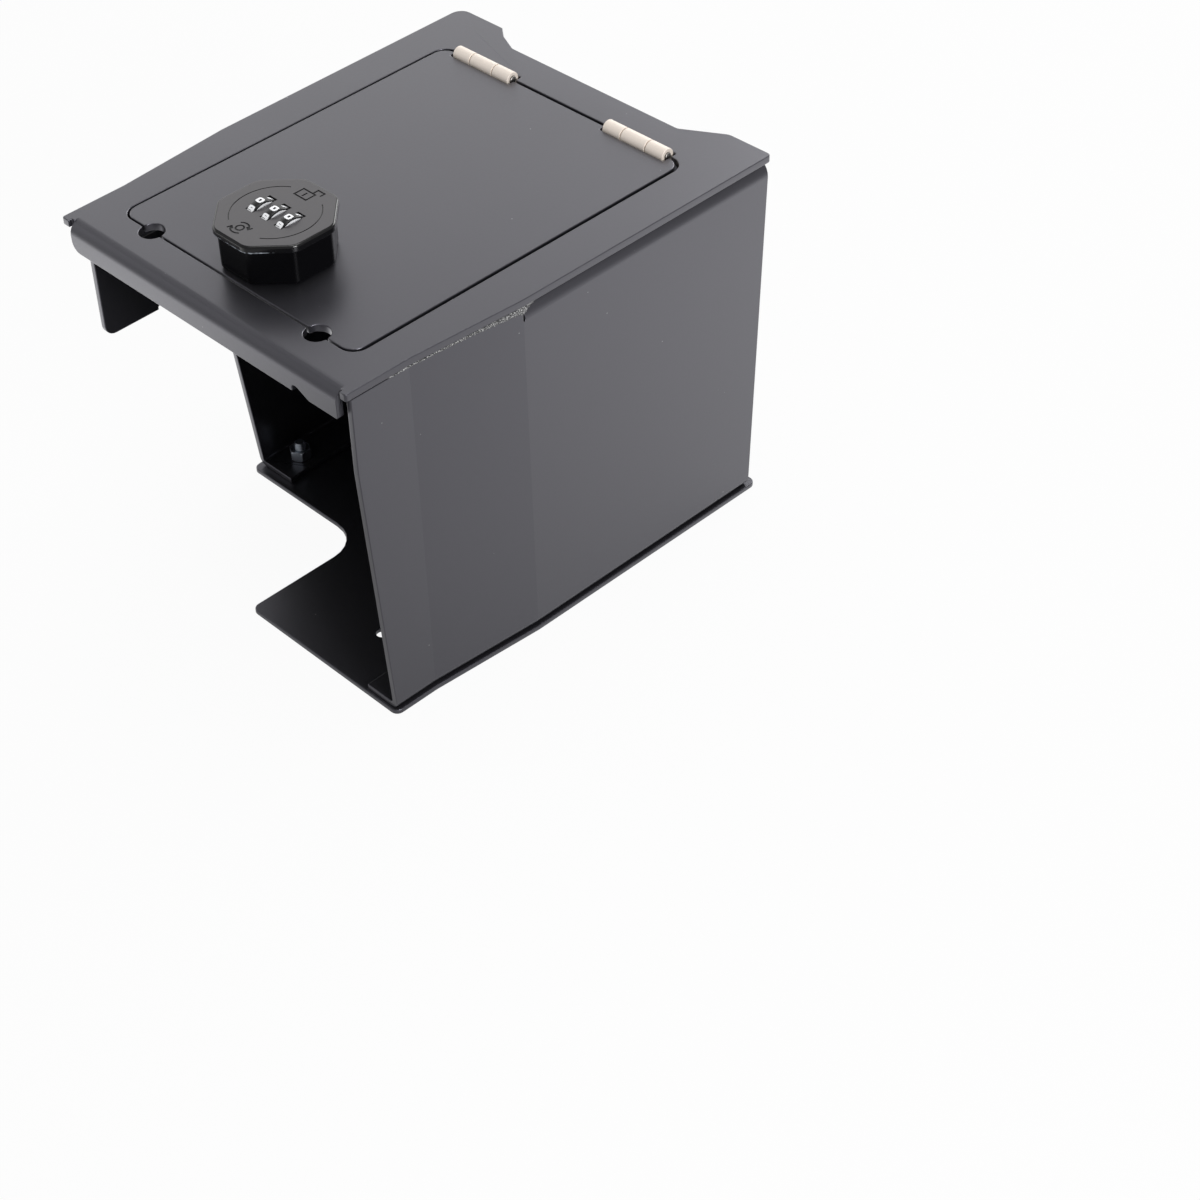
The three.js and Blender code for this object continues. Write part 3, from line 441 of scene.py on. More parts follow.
def grained(name, tone, share, grain_mm, detail, gloss, depth_mm, surface):
    """A finish with one noise of a grain's size, which drives its two tones, the second a share
    of the first, its roughness between the two of gloss, and its bump."""
    made, tree, place_of = material(name)
    if not tree:
        return made
    grain = add(tree, "TexNoise", {"Vector": place_of, "Scale": 1 / (grain_mm * MM),
                                   "Detail": detail})
    rough = add(tree, "MapRange", {"Value": grain, "To Min": gloss[0], "To Max": gloss[1]})
    tones = add(tree, "Mix", {"Factor": grain, "A": linear(tone), "B": linear(tone, share)},
                data_type="RGBA")
    bump = add(tree, "Bump", {"Height": grain, "Distance": depth_mm * MM})
    return finish_material(made, {
        "Base Color": tones, "Roughness": rough, "Normal": bump, **surface})


def plated(name, tone, grain_mm, rough, contrast, metallic=1.0, depth_mm=0.01):
    """Bright plating on steel: metallic, with a fine mottled grain in its gloss."""
    return grained(name, tone, 0.9, grain_mm, detail=3.0, gloss=(rough, rough + contrast),
                   depth_mm=depth_mm, surface={"Metallic": metallic})


def nickel():
    """Tumbled nickel plate on the hinges: warm, pale and satin."""
    return plated("Satin nickel plate", colours().nickel, grain_mm=0.6, rough=0.32,
                  contrast=0.06, metallic=0.15, depth_mm=0.002)


def zinc():
    """Electroplated zinc on fasteners: bluish, with a faint spangle."""
    return plated("Blue zinc plate", colours().zinc, grain_mm=0.8, rough=0.3, contrast=0.16)


def die_cast():
    """Die-cast zinc alloy, unplated: dull grey with a cast grain."""
    return plated("Die-cast zinc alloy", colours().die_cast, grain_mm=0.5, rough=0.42,
                  contrast=0.2)


def spring_steel():
    """Cold-rolled spring steel, bright from the roll."""
    return plated("Rolled spring steel", colours().spring, grain_mm=0.4, rough=0.28,
                  contrast=0.12)


def moulded(name, tone, rough, peel_mm, depth_mm, specular=0.5):
    """Moulded or lacquered plastic and enamel: one tone, a faint texture in gloss and bump."""
    return grained(name, tone, 1.12, peel_mm, detail=2.0, gloss=(rough * 0.85, rough * 1.15),
                   depth_mm=depth_mm, surface={"Specular IOR Level": specular, "IOR": 1.5})


def enamel():
    """Black enamel on the body of the die-cast knob: a deep gloss."""
    return moulded("Gloss black enamel", colours().enamel, rough=0.25, peel_mm=1.5,
                   depth_mm=0.0008, specular=0.1)


def rim_enamel():
    """Black enamel on the cap's rim: a deep gloss, with a broken painted highlight in the zinc
    colour along the front lip.
    """
    made, tree, place_of = material("Black enamel with painted lip highlight")
    if not tree:
        return made
    peel = add(tree, "TexNoise", {"Vector": place_of, "Scale": 1 / (1.9 * MM), "Detail": 2.0})
    part = add(tree, "SeparateXYZ", {"Vector": place_of}).outputs
    painted_lip_highlight = add(tree, "MapRange", {"Value": peel, "From Min": 0.42, "From Max": 0.6})
    # Where the painted highlight starts and is full: above the lip, below the rim, and towards the
    # front
    lip, axis = CAP_LOW[2], CAP_CENTRE[1]
    for value, start, full in (("Z", lip + 0.1, lip + 0.3), ("Z", lip + 0.8, lip + 0.5),
                               ("Y", axis - 14, axis - 18)):
        band = add(tree, "MapRange", {"Value": part[value], "From Min": start * MM,
                                      "From Max": full * MM})
        painted_lip_highlight = add(tree, "Math", {0: painted_lip_highlight, 1: band}, operation="MULTIPLY")
    # The zinc colour mixed in here is a painted highlight, not metal showing through the enamel
    tone = add(tree, "Mix", {"Factor": painted_lip_highlight, "A": linear(colours().enamel),
                             "B": linear(colours().zinc)}, data_type="RGBA")
    bump = add(tree, "Bump", {"Height": peel, "Distance": 0.003 * MM})
    return finish_material(made, {"Base Color": tone, "Roughness": 0.12,
                                  "Specular IOR Level": 0.6, "Normal": bump})


def cap_satin():
    """The flat top of the cap: a warm satin on the black enamel, its base lighter than the rim's
    as a painted sheen.
    """
    return moulded("Satin enamel with painted sheen", colours().cap_top, rough=0.3, peel_mm=0.7,
                   depth_mm=0.008, specular=1.0)


def engraved():
    """Floor of the engraved signs and the groove: matt black."""
    return moulded("Matt black engraving", colours().wheel, rough=0.6, peel_mm=0.4,
                   depth_mm=0.004)


def wheel_plastic():
    """Acetal of the dial wheels, moulded black with a low sheen."""
    return moulded("Moulded black acetal", colours().wheel, rough=0.34, peel_mm=0.5,
                   depth_mm=0.006)


def white_plastic():
    """White acetal of the wheels' sides and the code discs."""
    return moulded("Moulded white acetal", colours().numeral, rough=0.4, peel_mm=0.5,
                   depth_mm=0.004, specular=1.0)


def numeral_paint():
    """White pad-printed ink of the numerals."""
    return moulded("White numeral ink", colours().numeral, rough=0.35, peel_mm=0.3,
                   depth_mm=0.003, specular=1.0)


def coated_weld():
    """Powder coat over a weld bead: rough, with pale specks where a fine noise runs high."""
    made, tree, place_of = material("Powder coat over a weld")
    if not tree:
        return made
    grain = add(tree, "TexNoise", {"Vector": place_of, "Scale": 1 / (0.45 * MM), "Detail": 1.0})
    pale_speck = add(tree, "MapRange", {"Value": grain, "From Min": 0.5, "From Max": 0.66})
    tone = add(tree, "Mix", {"Factor": pale_speck, "A": linear(colours().coat_light),
                             "B": linear(colours().weld)}, data_type="RGBA")
    bump = add(tree, "Bump", {"Height": grain, "Distance": 0.15 * MM})
    return finish_material(made, {"Base Color": tone, "Roughness": 0.35,
                                  "Specular IOR Level": 1.0, "Normal": bump})


# Pieces

def weld_bead(path, across, down, ripples):
    """A rough bead along a path: rings of points about it, in the plane across Y.

    The ring's half-width and half-height are the bead's own at that step, times 1 plus a
    ripple along the path and a random roughness.
    """
    draw = np.random.default_rng(7)
    count, around, wave, chance = len(path), 14, 0.12, 0.16
    t = full_turn(around)
    along = np.linspace(0, 2 * np.pi * ripples, count) + draw.uniform(0, 1, count)
    rough = 1 + wave * np.sin(along)[:, None] + draw.uniform(-chance, chance, (count, around))
    x = path[:, :1] + across[:, None] * rough * np.cos(t)
    z = path[:, 2:] + down[:, None] * rough * np.sin(t)
    rings = np.stack([np.minimum(x, PLATE_RIGHT), path[:, 1:2] + 0 * t,
                      np.minimum(z, PLATE_UNDER)], -1)
    return skin(rings[::-1])


class CONSOLESAFE_OT_welds(bpy.types.Operator):
    """Make the weld bead in the seam between the top plate and the right panel"""
    bl_idname = "console_safe.welds"
    bl_label = "Weld bead"

    def execute(self, context):
        # Along Y: how far the bead stands from the plate's edge, its half-width and half-height
        rows = np.array([
            [-82.0, 3.9, 0.08, 0.1], [-80.0, 3.9, 0.34, 0.4], [-71.8, 3.9, 0.36, 0.45],
            [-60.0, 3.05, 0.4, 0.5], [-45.0, 2.0, 0.45, 0.7], [-37.0, 1.45, 0.5, 1.0],
            [-30.0, 0.95, 0.5, 1.3], [-25.0, 0.6, 0.5, 1.5], [-22.4, 0.55, 0.5, 1.9],
            [-20.5, 1.1, 0.6, 1.3], [-16.0, 1.9, 0.5, 0.7], [-11.0, 2.3, 0.08, 0.2]])
        # The bead's axis hangs this share of its half-height below the plate
        hang, steps = 0.8, 265
        y = np.linspace(rows[0, 0], rows[-1, 0], steps)
        inset, across, down = [np.interp(y, rows[:, 0], column) for column in rows[:, 1:].T]
        path = np.stack([PLATE_RIGHT - inset, y, PLATE_UNDER - hang * down], -1)
        bead = weld_bead(path, across, down, ripples=40)
        piece("right_weld_bead", [bead], "right_side_panel", coated_weld(), sharp=60,
              stands_in=False)
        return {"FINISHED"}


class CONSOLESAFE_OT_sheets(bpy.types.Operator):
    """Finish the folded sheets: top plate, side and rear panels, floor and lid stops"""
    bl_idname = "console_safe.sheets"
    bl_label = "Folded sheets"

    def execute(self, context):
        coat, edge = powder_coat(), sizes().sheet_edge
        for node in ("top_plate", "rear_panel", "floor_plate", "left_lid_stop",
                     "right_lid_stop"):
            finished(node, coat, edge)
        for node in ("right_side_panel", "left_side_panel"):
            finished(node, coat, edge, sizes().fold_width)
        return {"FINISHED"}


class CONSOLESAFE_OT_lid(bpy.types.Operator):
    """Finish the lid: a flat sheet with rounded corners, notched for cables and hinges"""
    bl_idname = "console_safe.lid"
    bl_label = "Lid"

    def execute(self, context):
        finished("lid", powder_coat(), sizes().sheet_edge)
        return {"FINISHED"}


def domed_pin(low, high, dome=0.5):
    """A round pin along X with domed ends: a profile of radius against x, turned about it."""
    centre, radius = (low + high) / 2, (high[2] - low[2]) / 2
    rise = arc(0, 0, 1, 0, 80, 7)
    end = np.stack([radius * rise[:, 0], dome * rise[:, 1]], -1)
    half = (high[0] - low[0]) / 2 - dome
    profile = np.concatenate([end[::-1] * [1, -1] - [0, half], end + [0, half]])
    points, faces = skin(turned_profile(profile, full_turn(32)))
    return points[:, ALONG_X] + centre, faces


class CONSOLESAFE_OT_hinges(bpy.types.Operator):
    """Finish the two hinges: nickel-plated knuckles and their domed pins"""
    bl_idname = "console_safe.hinges"
    bl_label = "Hinges"

    def execute(self, context):
        plate, steel = nickel(), spring_steel()
        for side in ("left", "right"):
            for knuckle in ("hinge_knuckle_left", "hinge_knuckle_right", "hinge_lid_knuckle"):
                made = finished(f"{side}_{knuckle}", plate, sizes().small_edge)
            middle = Vector((centre_mm(f"{side}_hinge_lid_knuckle")[0] * MM, 0, 0))
            made.data.transform(Matrix.Translation(middle) @ Matrix.Scale(
                KNUCKLE_SHARE, 4, (1, 0, 0)) @ Matrix.Translation(-middle))
            pin = f"{side}_hinge_pin"
            piece(f"{pin}_domed", [domed_pin(*box_mm(pin))], pin, steel)
        return {"FINISHED"}


# Rings of a thread in one pitch
THREAD_STEPS = 8


def thread(radius, pitch, depth, z, t):
    """Radius of a screw thread at height z and angle t: a ridge that climbs one pitch a turn."""
    phase = (z / pitch - t / (2 * np.pi)) % 1.0
    return radius - depth * np.abs(2 * phase - 1)


def floor_screw(low, high, pitch):
    """A countersunk screw with a cross recess, head down, in the box of its CAD node.

    The head's face is a disc of rings whose height is the recess depth where the point lies in
    either bar of the cross; the cone and the threaded shank are rings about the axis.
    """
    t = full_turn(64)
    head, shank, chamfer, land = 4.4, 2.4, 0.6, 0.12
    bar, reach, sink, slope = 0.55, 2.3, 1.3, 0.4
    ring = np.linspace(0.05, head - 0.15, 30)[:, None]
    x, y = ring * np.cos(t), ring * np.sin(t)
    across = np.minimum(np.maximum(np.abs(x) - bar, np.abs(y) - reach),
                        np.maximum(np.abs(y) - bar, np.abs(x) - reach))
    depth = sink * np.clip(0.5 - across / slope, 0, 1)
    bottom, top = low[2], high[2]
    neck = bottom + head - shank
    z = np.arange(neck, top - chamfer, pitch / THREAD_STEPS)[:, None]
    points, faces = skin(np.concatenate([
        np.stack([x, y, bottom + depth], -1),
        turned_profile([[head, bottom + land], [shank + 0.1, neck - 0.1]], t),
        turned(thread(shank, pitch, 0.3, z, t), z, t),
        turned_profile([[shank - 0.35, top - chamfer / 2], [shank - chamfer, top - 0.05],
                        [0.8, top]], t)]))
    return points + (low + high) / 2 * IN_PLAN, faces


def hex_nut(low, high, bore, chamfer):
    """A hexagon nut in the box of its CAD node: its wall is the nearer of the hexagon and the
    chamfer's cone.

    The hexagon's radius at angle t is (across / 2) / cos of the angle to the nearest flat's
    middle; near each end it is limited to a circle that shrinks towards the end.
    """
    t = full_turn(96)
    bottom, top, apothem = low[2], high[2], (high[0] - low[0]) / 2
    flat = (t + np.pi / 6) % (np.pi / 3) - np.pi / 6
    corner = apothem / np.cos(np.pi / 6)
    steps = np.linspace(0, chamfer, 6)
    z = np.concatenate([bottom + steps, top - steps[::-1]])[:, None]
    rise = np.minimum(z - bottom, top - z)
    limit = apothem - 0.15 + (corner - apothem + 0.2) * np.sqrt(rise / chamfer)
    mouth = 0.4
    points, faces = skin(np.concatenate([
        turned(np.minimum(apothem / np.cos(flat), limit), z, t),
        turned_profile([[bore + mouth, top], [bore, top - mouth], [bore, bottom + mouth],
                        [bore + mouth, bottom]], t)]), closed_along=True)
    return points + (low + high) / 2 * IN_PLAN, faces


class CONSOLESAFE_OT_fasteners(bpy.types.Operator):
    """Make the four countersunk floor screws and their nuts"""
    bl_idname = "console_safe.fasteners"
    bl_label = "Floor screws and nuts"

    def execute(self, context):
        plate, pitch = zinc(), sizes().thread_pitch / MM
        for number in range(1, 5):
            screw, nut = f"floor_screw_{number}", f"floor_nut_{number}"
            shell = floor_screw(*box_mm(screw), pitch)
            piece(f"{screw}_threaded", [shell], screw, plate, sharp=40)
            shell = hex_nut(*box_mm(nut), bore=2.5, chamfer=0.8)
            piece(f"{nut}_chamfered", [shell], nut, plate, sharp=25)
        return {"FINISHED"}


def rim_shell(across, corner, low, high, under, over):
    """An octagonal solid about the knob's axis: rounded octagons, inset by d at height z.

    The profile (d, z) climbs from the underside round the lower fillet, up the rim, round the
    upper fillet and in over the top.
    """
    in_below, in_above = 0.8, 0.6
    lower = arc(under, low + under, under, start=270, end=180, steps=7)
    upper = arc(over, high - over, over, start=180, end=90, steps=10)
    profile = np.concatenate([[[under + in_below, low]], lower, upper,
                              [[over + in_above, high]]])
    points, faces = skin(np.stack([level(octagon(across / 2 - inset, corner - inset), height)
                                   for inset, height in profile]))
    return points + CAP_CENTRE * IN_PLAN, faces


def spindle_shell(low, shoulder, high):
    """The knob's spindle: a square with cut corners below its shoulder, and round above it.

    The square's radius at angle t is half its width over the larger of |cos t| and |sin t|,
    limited at the corners.
    """
    t = full_turn(64)
    half, corner, neck, chamfer = 3.1, 4.1, 4.5, 0.3
    square = np.minimum(half / np.maximum(np.abs(np.cos(t)), np.abs(np.sin(t))), corner)
    rows = [(square - chamfer, low), (square, low + chamfer), (square, shoulder),
            (neck, shoulder), (neck, high)]
    points, faces = skin(np.stack([turned(radius, z, t) for radius, z in rows]))
    return points + CAP_CENTRE * IN_PLAN, faces


def bar_cutter(x0, x1, y0, y1, z0, z1):
    """A box as eight points: every pairing of the two x, y and z values."""
    return prism(np.array([[x0, y0], [x1, y0], [x1, y1], [x0, y1]]), z0, z1)


def ribbon_cutter(path, width, z0, z1):
    """A band along a plan path, as two edges half a width to its left and right.

    The edge at each point is moved along the mean of the normals before and after it.
    """
    way = np.gradient(path, axis=0)
    way /= np.linalg.norm(way, axis=1)[:, None]
    side = np.stack([-way[:, 1], way[:, 0]], -1) * width / 2
    return prism(np.concatenate([path - side, (path + side)[::-1]]), z0, z1)


def disc_cutter(x, y, radius, z0, z1):
    """An upright cylinder: circles of points at its two ends."""
    points, faces = prism(radius * UNIT_CIRCLE, z0, z1)
    return points + [x, y, 0], faces


def drum_cutter(x0, x1, y, z, radius):
    """A cylinder along X: circles of points at each end."""
    points, faces = prism(radius * UNIT_CIRCLE, x0, x1)
    return points[:, ALONG_X] + [0, y, z], faces


def carve(made, cutters, materials):
    """Cuts the cutters out of the piece one after another; the cut faces take their material."""
    for (points, faces), material_index in cutters:
        mesh = mesh_of("cutter", points, faces)
        for each in materials:
            mesh.materials.append(each)
        mesh.polygons.foreach_set("material_index", np.full(len(faces), material_index))
        cutter = linked("cutter", mesh)
        cut = made.modifiers.new("Cut", "BOOLEAN")
        cut.operation = "DIFFERENCE"
        cut.solver = "EXACT"
        cut.object = cutter
        applied(made)
        bpy.data.objects.remove(cutter)


def face_values(mesh, key, width, kind=np.float32):
    """One value or vector of each face of a mesh, as an array with a row for each face."""
    values = np.empty(len(mesh.polygons) * width, kind)
    mesh.polygons.foreach_get(key, values)
    return values.reshape(-1, width)


def padlock_lines():
    """An open padlock in straight strokes, from the knob's axis: a body, its bar and a shackle."""
    left, right, low, high = -4.2, 2.0, 12.0, 16.4
    body = [[(left, low), (right, low)], [(right, low), (right, high)],
            [(right, high), (left, high)], [(left, high), (left, low)]]
    keyhole = [[(-1.1, low + 1.2), (-1.1, high - 1.4)]]
    shackle = [[(0.6, high), (0.6, 19.0)], [(0.6, 19.0), (4.0, 19.0)],
               [(4.0, 19.0), (4.0, 17.2)]]
    return body + keyhole + shackle


def turn_lines():
    """A dial with two arrows round it, from the knob's axis, as arcs and short strokes."""
    x, y, dial, orbit, barb = -1.7, -14.6, 1.5, 3.3, 1.4
    lines = [arc(x, y, dial, start, start + 180, 10) for start in (0, 180)]
    lines += [arc(x, y, orbit, start, start + 110, 10) for start in (20, 200)]
    for start in (20, 200):
        tip = arc(x, y, orbit, start, start, 1)[0]
        for way in (start + 50, start + 130):
            lines.append([tip, arc(*tip, barb, way, way, 1)[0]])
    return lines


def lengthened(line, by):
    """A line with its two ends moved out, so that strokes that meet overlap."""
    line = np.asarray(line, float)
    first, last = line[0] - line[1], line[-1] - line[-2]
    line[0] += by * first / np.linalg.norm(first)
    line[-1] += by * last / np.linalg.norm(last)
    return line


class CONSOLESAFE_OT_knob(bpy.types.Operator):
    """Make the octagonal knob: its body, and the cap with windows, groove and signs"""
    bl_idname = "console_safe.knob"
    bl_label = "Knob"

    def execute(self, context):
        looks = [rim_enamel(), cap_satin(), engraved()]
        rim, satin, dark = range(3)
        x, y = CAP_CENTRE[:2]
        self.make_body(x, y)
        corner, top, above = 6.0, CAP_HIGH[2], CAP_HIGH[2] + 1
        shell = rim_shell(CAP_HIGH[0] - CAP_LOW[0], corner, CAP_LOW[2], top,
                          sizes().cap_under / MM, sizes().cap_fillet / MM)
        made = piece("knob_cap_carved", [shell], "knob_cap", looks)
        low, high = box_mm("right_code_disc")
        reach, room = high[0] + PLAY - x, (high[2] - low[2]) / 2 + PLAY
        wheel_z, wheel_room = centre_mm("dial_axle")[2], 7.9
        cutters = [(drum_cutter(x - reach, x + reach, y, wheel_z, room), rim)]
        half, window, through = 2.1, 5.6, 5
        for dial in DIALS:
            at = centre_mm(f"{dial}_dial_wheel")[0]
            cutters.append((bar_cutter(at - half, at + half, y - window, y + window,
                                       top - through, top + through), dark))
            cutters.append((drum_cutter(at - half, at + half, y, wheel_z, wheel_room), rim))
        depth, width = sizes().engraving_depth / MM, sizes().engraving_width / MM
        for line in padlock_lines() + turn_lines():
            path = lengthened(line, width / 2) + [x, y]
            cutters.append((ribbon_cutter(path, width, top - depth, above), dark))
        radius, band = sizes().groove_radius / MM, sizes().groove_width / MM
        bottom, spread = top - sizes().groove_depth / MM, 59
        for middle in (0, 180):
            path = arc(x, y, radius, middle - spread, middle + spread, 40)
            cutters.append((ribbon_cutter(path, band, bottom, above), rim))
        carve(made, cutters, looks)
        # The cap's upward top faces take the satin material, whose lighter base is a painted sheen
        mesh = made.data
        height = face_values(mesh, "center", 3)[:, 2]
        upward = face_values(mesh, "normal", 3)[:, 2] > 0.999
        index = face_values(mesh, "material_index", 1, np.int32)
        index[upward & (np.abs(height - top * MM) < 0.01 * MM)] = satin
        mesh.polygons.foreach_set("material_index", index.ravel())
        smooth(mesh, 25)
        flat_shading(made)
        return {"FINISHED"}

    def make_body(self, x, y):
        """The body below the cap: hollowed for the barrel's head, the wheels and their axle."""
        low, high = box_mm("knob_body")
        foot, above, below = PLATE_TOP + 0.4, high[2] + 1, PLATE_TOP - 0.6
        wheel, axle = centre_mm("dial_axle")[2], box_mm("dial_axle")
        slide, spring = box_mm("locking_slide"), box_mm("detent_spring")
        web, floor = slide[0][2], spring[0][2] - PLAY
        corner, under, over, head_room, axle_room = 3.6, 1.0, 0.3, 11.8, 1.6
        pin_inset, pin_room = 0.7, 0.82
        shell = rim_shell(high[0] - low[0], corner, foot, high[2], under, over)
        made = piece("knob_body_hollowed", [shell], "knob_body", enamel())
        hollows = [
            disc_cutter(x, y, head_room, below, web),
            bar_cutter(slide[0][0] - 2 * PLAY, slide[1][0] + 2 * PLAY, spring[0][1] - PLAY,
                       slide[1][1] + PLAY, floor, above),
            bar_cutter(axle[0][0] - PLAY, axle[1][0] + PLAY, y - axle_room, y + axle_room,
                       wheel - axle_room, above),
            disc_cutter(x, slide[1][1] - pin_inset, pin_room, below, floor + 1)]
        carve(made, [(hollow, 0) for hollow in hollows], [enamel()])
        smooth(made.data, 25)
        flat_shading(made)
        shell = spindle_shell(low[2], shoulder=low[2] + 2.3, high=web + 0.7)
        piece("knob_spindle", [shell], "knob_body", die_cast(), stands_in=False)


def wheel_shell(centre, radius, width, tilt):
    """A dial wheel about X: a closed section carried round the axle.

    The tread's radius at angle t is the wheel's radius less the grip depth in a narrow bell
    at each of the ten places between numerals; the sides are sunk towards the hub, and
    white from the hub to a narrow black rim.
    """
    around = 240
    t = full_turn(around)
    depth, bell = 0.45, 0.07
    off = ((t - tilt) / (2 * np.pi / NUMERALS)) % 1.0 - 0.5
    grip = depth * np.exp(-((np.abs(off) - 0.5) / bell) ** 2)
    half, bore, hub = width / 2, 1.62, 2.6
    side = [[half, bore, 0], [half, hub, 0], [half - 0.12, hub + 0.15, 0],
            [half - 0.05, radius - 0.6, 0], [half, radius - 0.48, 0],
            [half, radius - 0.4, 0.2], [half - 0.06, radius - 0.08, 1],
            [half - 0.2, radius, 1]]
    section = np.array(side + [[-x, r, share] for x, r, share in side[::-1]])
    x, r, share = section.T[:, :, None]
    points, faces = skin(turned(r - share * grip, x, t), closed_along=True)
    last = 2 * len(side) - 2
    white = np.isin(np.arange(len(faces)) // around, [1, 2, last - 2, last - 1])
    return points[:, ALONG_X] + centre, faces, white


def numeral_shell(digit, radius, angle, centre):
    """One numeral of square strokes, three cells wide and five high, wrapped on its wheel.

    A point at height v goes to the angle a - v / radius, so that the numeral's top leans to
    the rear. Each filled cell has an outer and an inner face, and a side face wherever the
    cell beside it is empty. The outermost corners are drawn in.
    """
    wide, tall = sizes().numeral_width / MM, sizes().numeral_height / MM
    stroke = sizes().numeral_stroke / MM
    columns, levels, drawn_in, sunk, proud = 4, 11, 0.88, 0.25, 0.05
    across = np.array([0, stroke, wide - stroke, wide]) - wide / 2 - NUMERAL_SHIFT
    gap = (tall - 3 * stroke) / 2
    up = np.interp(np.arange(levels) / 2, np.arange(6),
                   np.cumsum([0, stroke, gap, stroke, gap, stroke])) - tall / 2
    stand = radius + np.array([-sunk, proud])
    stand, up, across = np.meshgrid(stand, up, across, indexing="ij")
    corners = np.s_[:, ::levels - 1, ::columns - 1]
    up[corners] *= drawn_in
    across[corners] = (across[corners] + NUMERAL_SHIFT) * drawn_in - NUMERAL_SHIFT
    points = turned(stand, across, angle - up / radius).reshape(-1, 3)
    filled = np.array([[cell == "#" for cell in row] for row in DIGITS[digit].split()])
    filled = np.repeat(filled[::-1], 2, axis=0)
    padded = np.pad(filled, 1)
    faces = []
    for i, j in np.argwhere(filled):
        first = i * columns + j
        inner = [first, first + 1, first + columns + 1, first + columns]
        outer = [corner + levels * columns for corner in inner]
        faces += [outer, inner[::-1]]
        for side, (di, dj) in enumerate([(-1, 0), (0, 1), (1, 0), (0, -1)]):
            if not padded[i + 1 + di, j + 1 + dj]:
                after = (side + 1) % 4
                faces.append([inner[side], inner[after], outer[after], outer[side]])
    used, faces = np.unique(np.array(faces), return_inverse=True)
    return points[used][:, ALONG_X] + centre, faces.reshape(-1, 4).tolist()


class CONSOLESAFE_OT_dials(bpy.types.Operator):
    """Make the three dial wheels with their numerals, and finish the code discs and axle"""
    bl_idname = "console_safe.dials"
    bl_label = "Dial wheels"

    def execute(self, context):
        black, white, ink = wheel_plastic(), white_plastic(), numeral_paint()
        radius, tilt = 7.55, np.pi / NUMERALS
        for dial in DIALS:
            node, disc = f"{dial}_dial_wheel", f"{dial}_code_disc"
            low, high = box_mm(node)
            centre = (low + high) / 2
            centre[1:] = centre_mm("dial_axle")[1:]
            points, faces, pale = wheel_shell(centre, radius, high[0] - low[0], tilt)
            made = piece(f"{node}_gripped", [(points, faces)], node, [black, white], sharp=35)
            made.data.polygons.foreach_set("material_index", pale.astype(np.int32))
            shells = [numeral_shell(-place_number % NUMERALS, radius,
                                    tilt + 2 * np.pi * (2 + place_number) / NUMERALS, centre)
                      for place_number in range(NUMERALS)]
            made = piece(f"{dial}_dial_numerals", shells, disc, ink, stands_in=False)
            bm = bmesh.new()
            bm.from_mesh(made.data)
            bmesh.ops.recalc_face_normals(bm, faces=bm.faces)
            bm.to_mesh(made.data)
            bm.free()
            smooth(made.data, 35)
            finished(disc, white, sizes().small_edge * 0.6)
        finished("dial_axle", spring_steel(), sizes().small_edge)
        return {"FINISHED"}


def barrel_shell(low, high, pitch):
    """The lock's threaded barrel: a closed section of radius against height about its axis.

    Below the head the radius is the smaller of the thread's and the distance to the two flats
    across Y, 8 / |sin t|.
    """
    t = full_turn(96)
    end, top = low[2], high[2]
    shank, bore, head, flat, thick = 9.0, 4.65, 11.5, 8.0, 1.0
    z = np.arange(end + 0.4, top - thick, pitch / THREAD_STEPS)[:, None]
    wall = np.minimum(thread(shank, pitch, 0.35, z, t),
                      flat / np.maximum(np.abs(np.sin(t)), 1e-3))
    wall = np.concatenate([np.minimum(wall[:1], shank - 0.5), wall])
    rest = [[head - 0.1, top - thick], [head, top - thick + 0.1], [head, top - 0.15],
            [head - 0.15, top], [bore + 0.2, top], [bore, top - 0.2], [bore, end + 0.2],
            [bore + 0.2, end]]
    points, faces = skin(np.concatenate([
        turned(wall, np.concatenate([[[end]], z]), t), turned_profile(rest, t)]),
        closed_along=True)
    return points + (low + high) / 2 * IN_PLAN, faces


class CONSOLESAFE_OT_lock(bpy.types.Operator):
    """Make the lock under the lid: threaded barrel, washer, nut, cam, screw and slide"""
    bl_idname = "console_safe.lock"
    bl_label = "Lock"

    def execute(self, context):
        cast, plate, steel = die_cast(), zinc(), spring_steel()
        edge, nut = sizes().small_edge, "lock_nut"
        shell = barrel_shell(*box_mm("lock_barrel"), sizes().barrel_pitch / MM)
        piece("lock_barrel_threaded", [shell], "lock_barrel", cast, sharp=35)
        shell = hex_nut(*box_mm(nut), bore=9.1, chamfer=1.4)
        piece(f"{nut}_chamfered", [shell], nut, plate, sharp=25)
        for node, finish, share in (
                ("lock_washer", plate, 1.0), ("cam_bar", plate, 1.5), ("cam_screw", plate, 1.5),
                ("locking_slide", steel, 0.5), ("detent_spring", steel, 0.3)):
            finished(node, finish, edge * share)
        return {"FINISHED"}


# Studio

def seen_directly(tree):
    """One where a camera or transmission ray meets the surface, and Light Path's outputs."""
    path = add(tree, "LightPath").outputs
    seen = add(tree, "Math", {0: path["Is Camera Ray"], 1: path["Is Transmission Ray"]},
               operation="MAXIMUM")
    return seen, path


def soft_box(name, place_mm, aim_mm, size_mm, power):
    """A rectangular area lamp that faces a point."""
    lamp = bpy.data.lights.new(name, "AREA")
    lamp.shape = "RECTANGLE"
    lamp.size, lamp.size_y = size_mm[0] * MM, size_mm[1] * MM
    lamp.energy = power
    made = linked(name, lamp)
    made.location = Vector(place_mm) * MM
    way = (Vector(aim_mm) - Vector(place_mm)).normalized()
    made.rotation_euler = way.to_track_quat("-Z", "Y").to_euler()


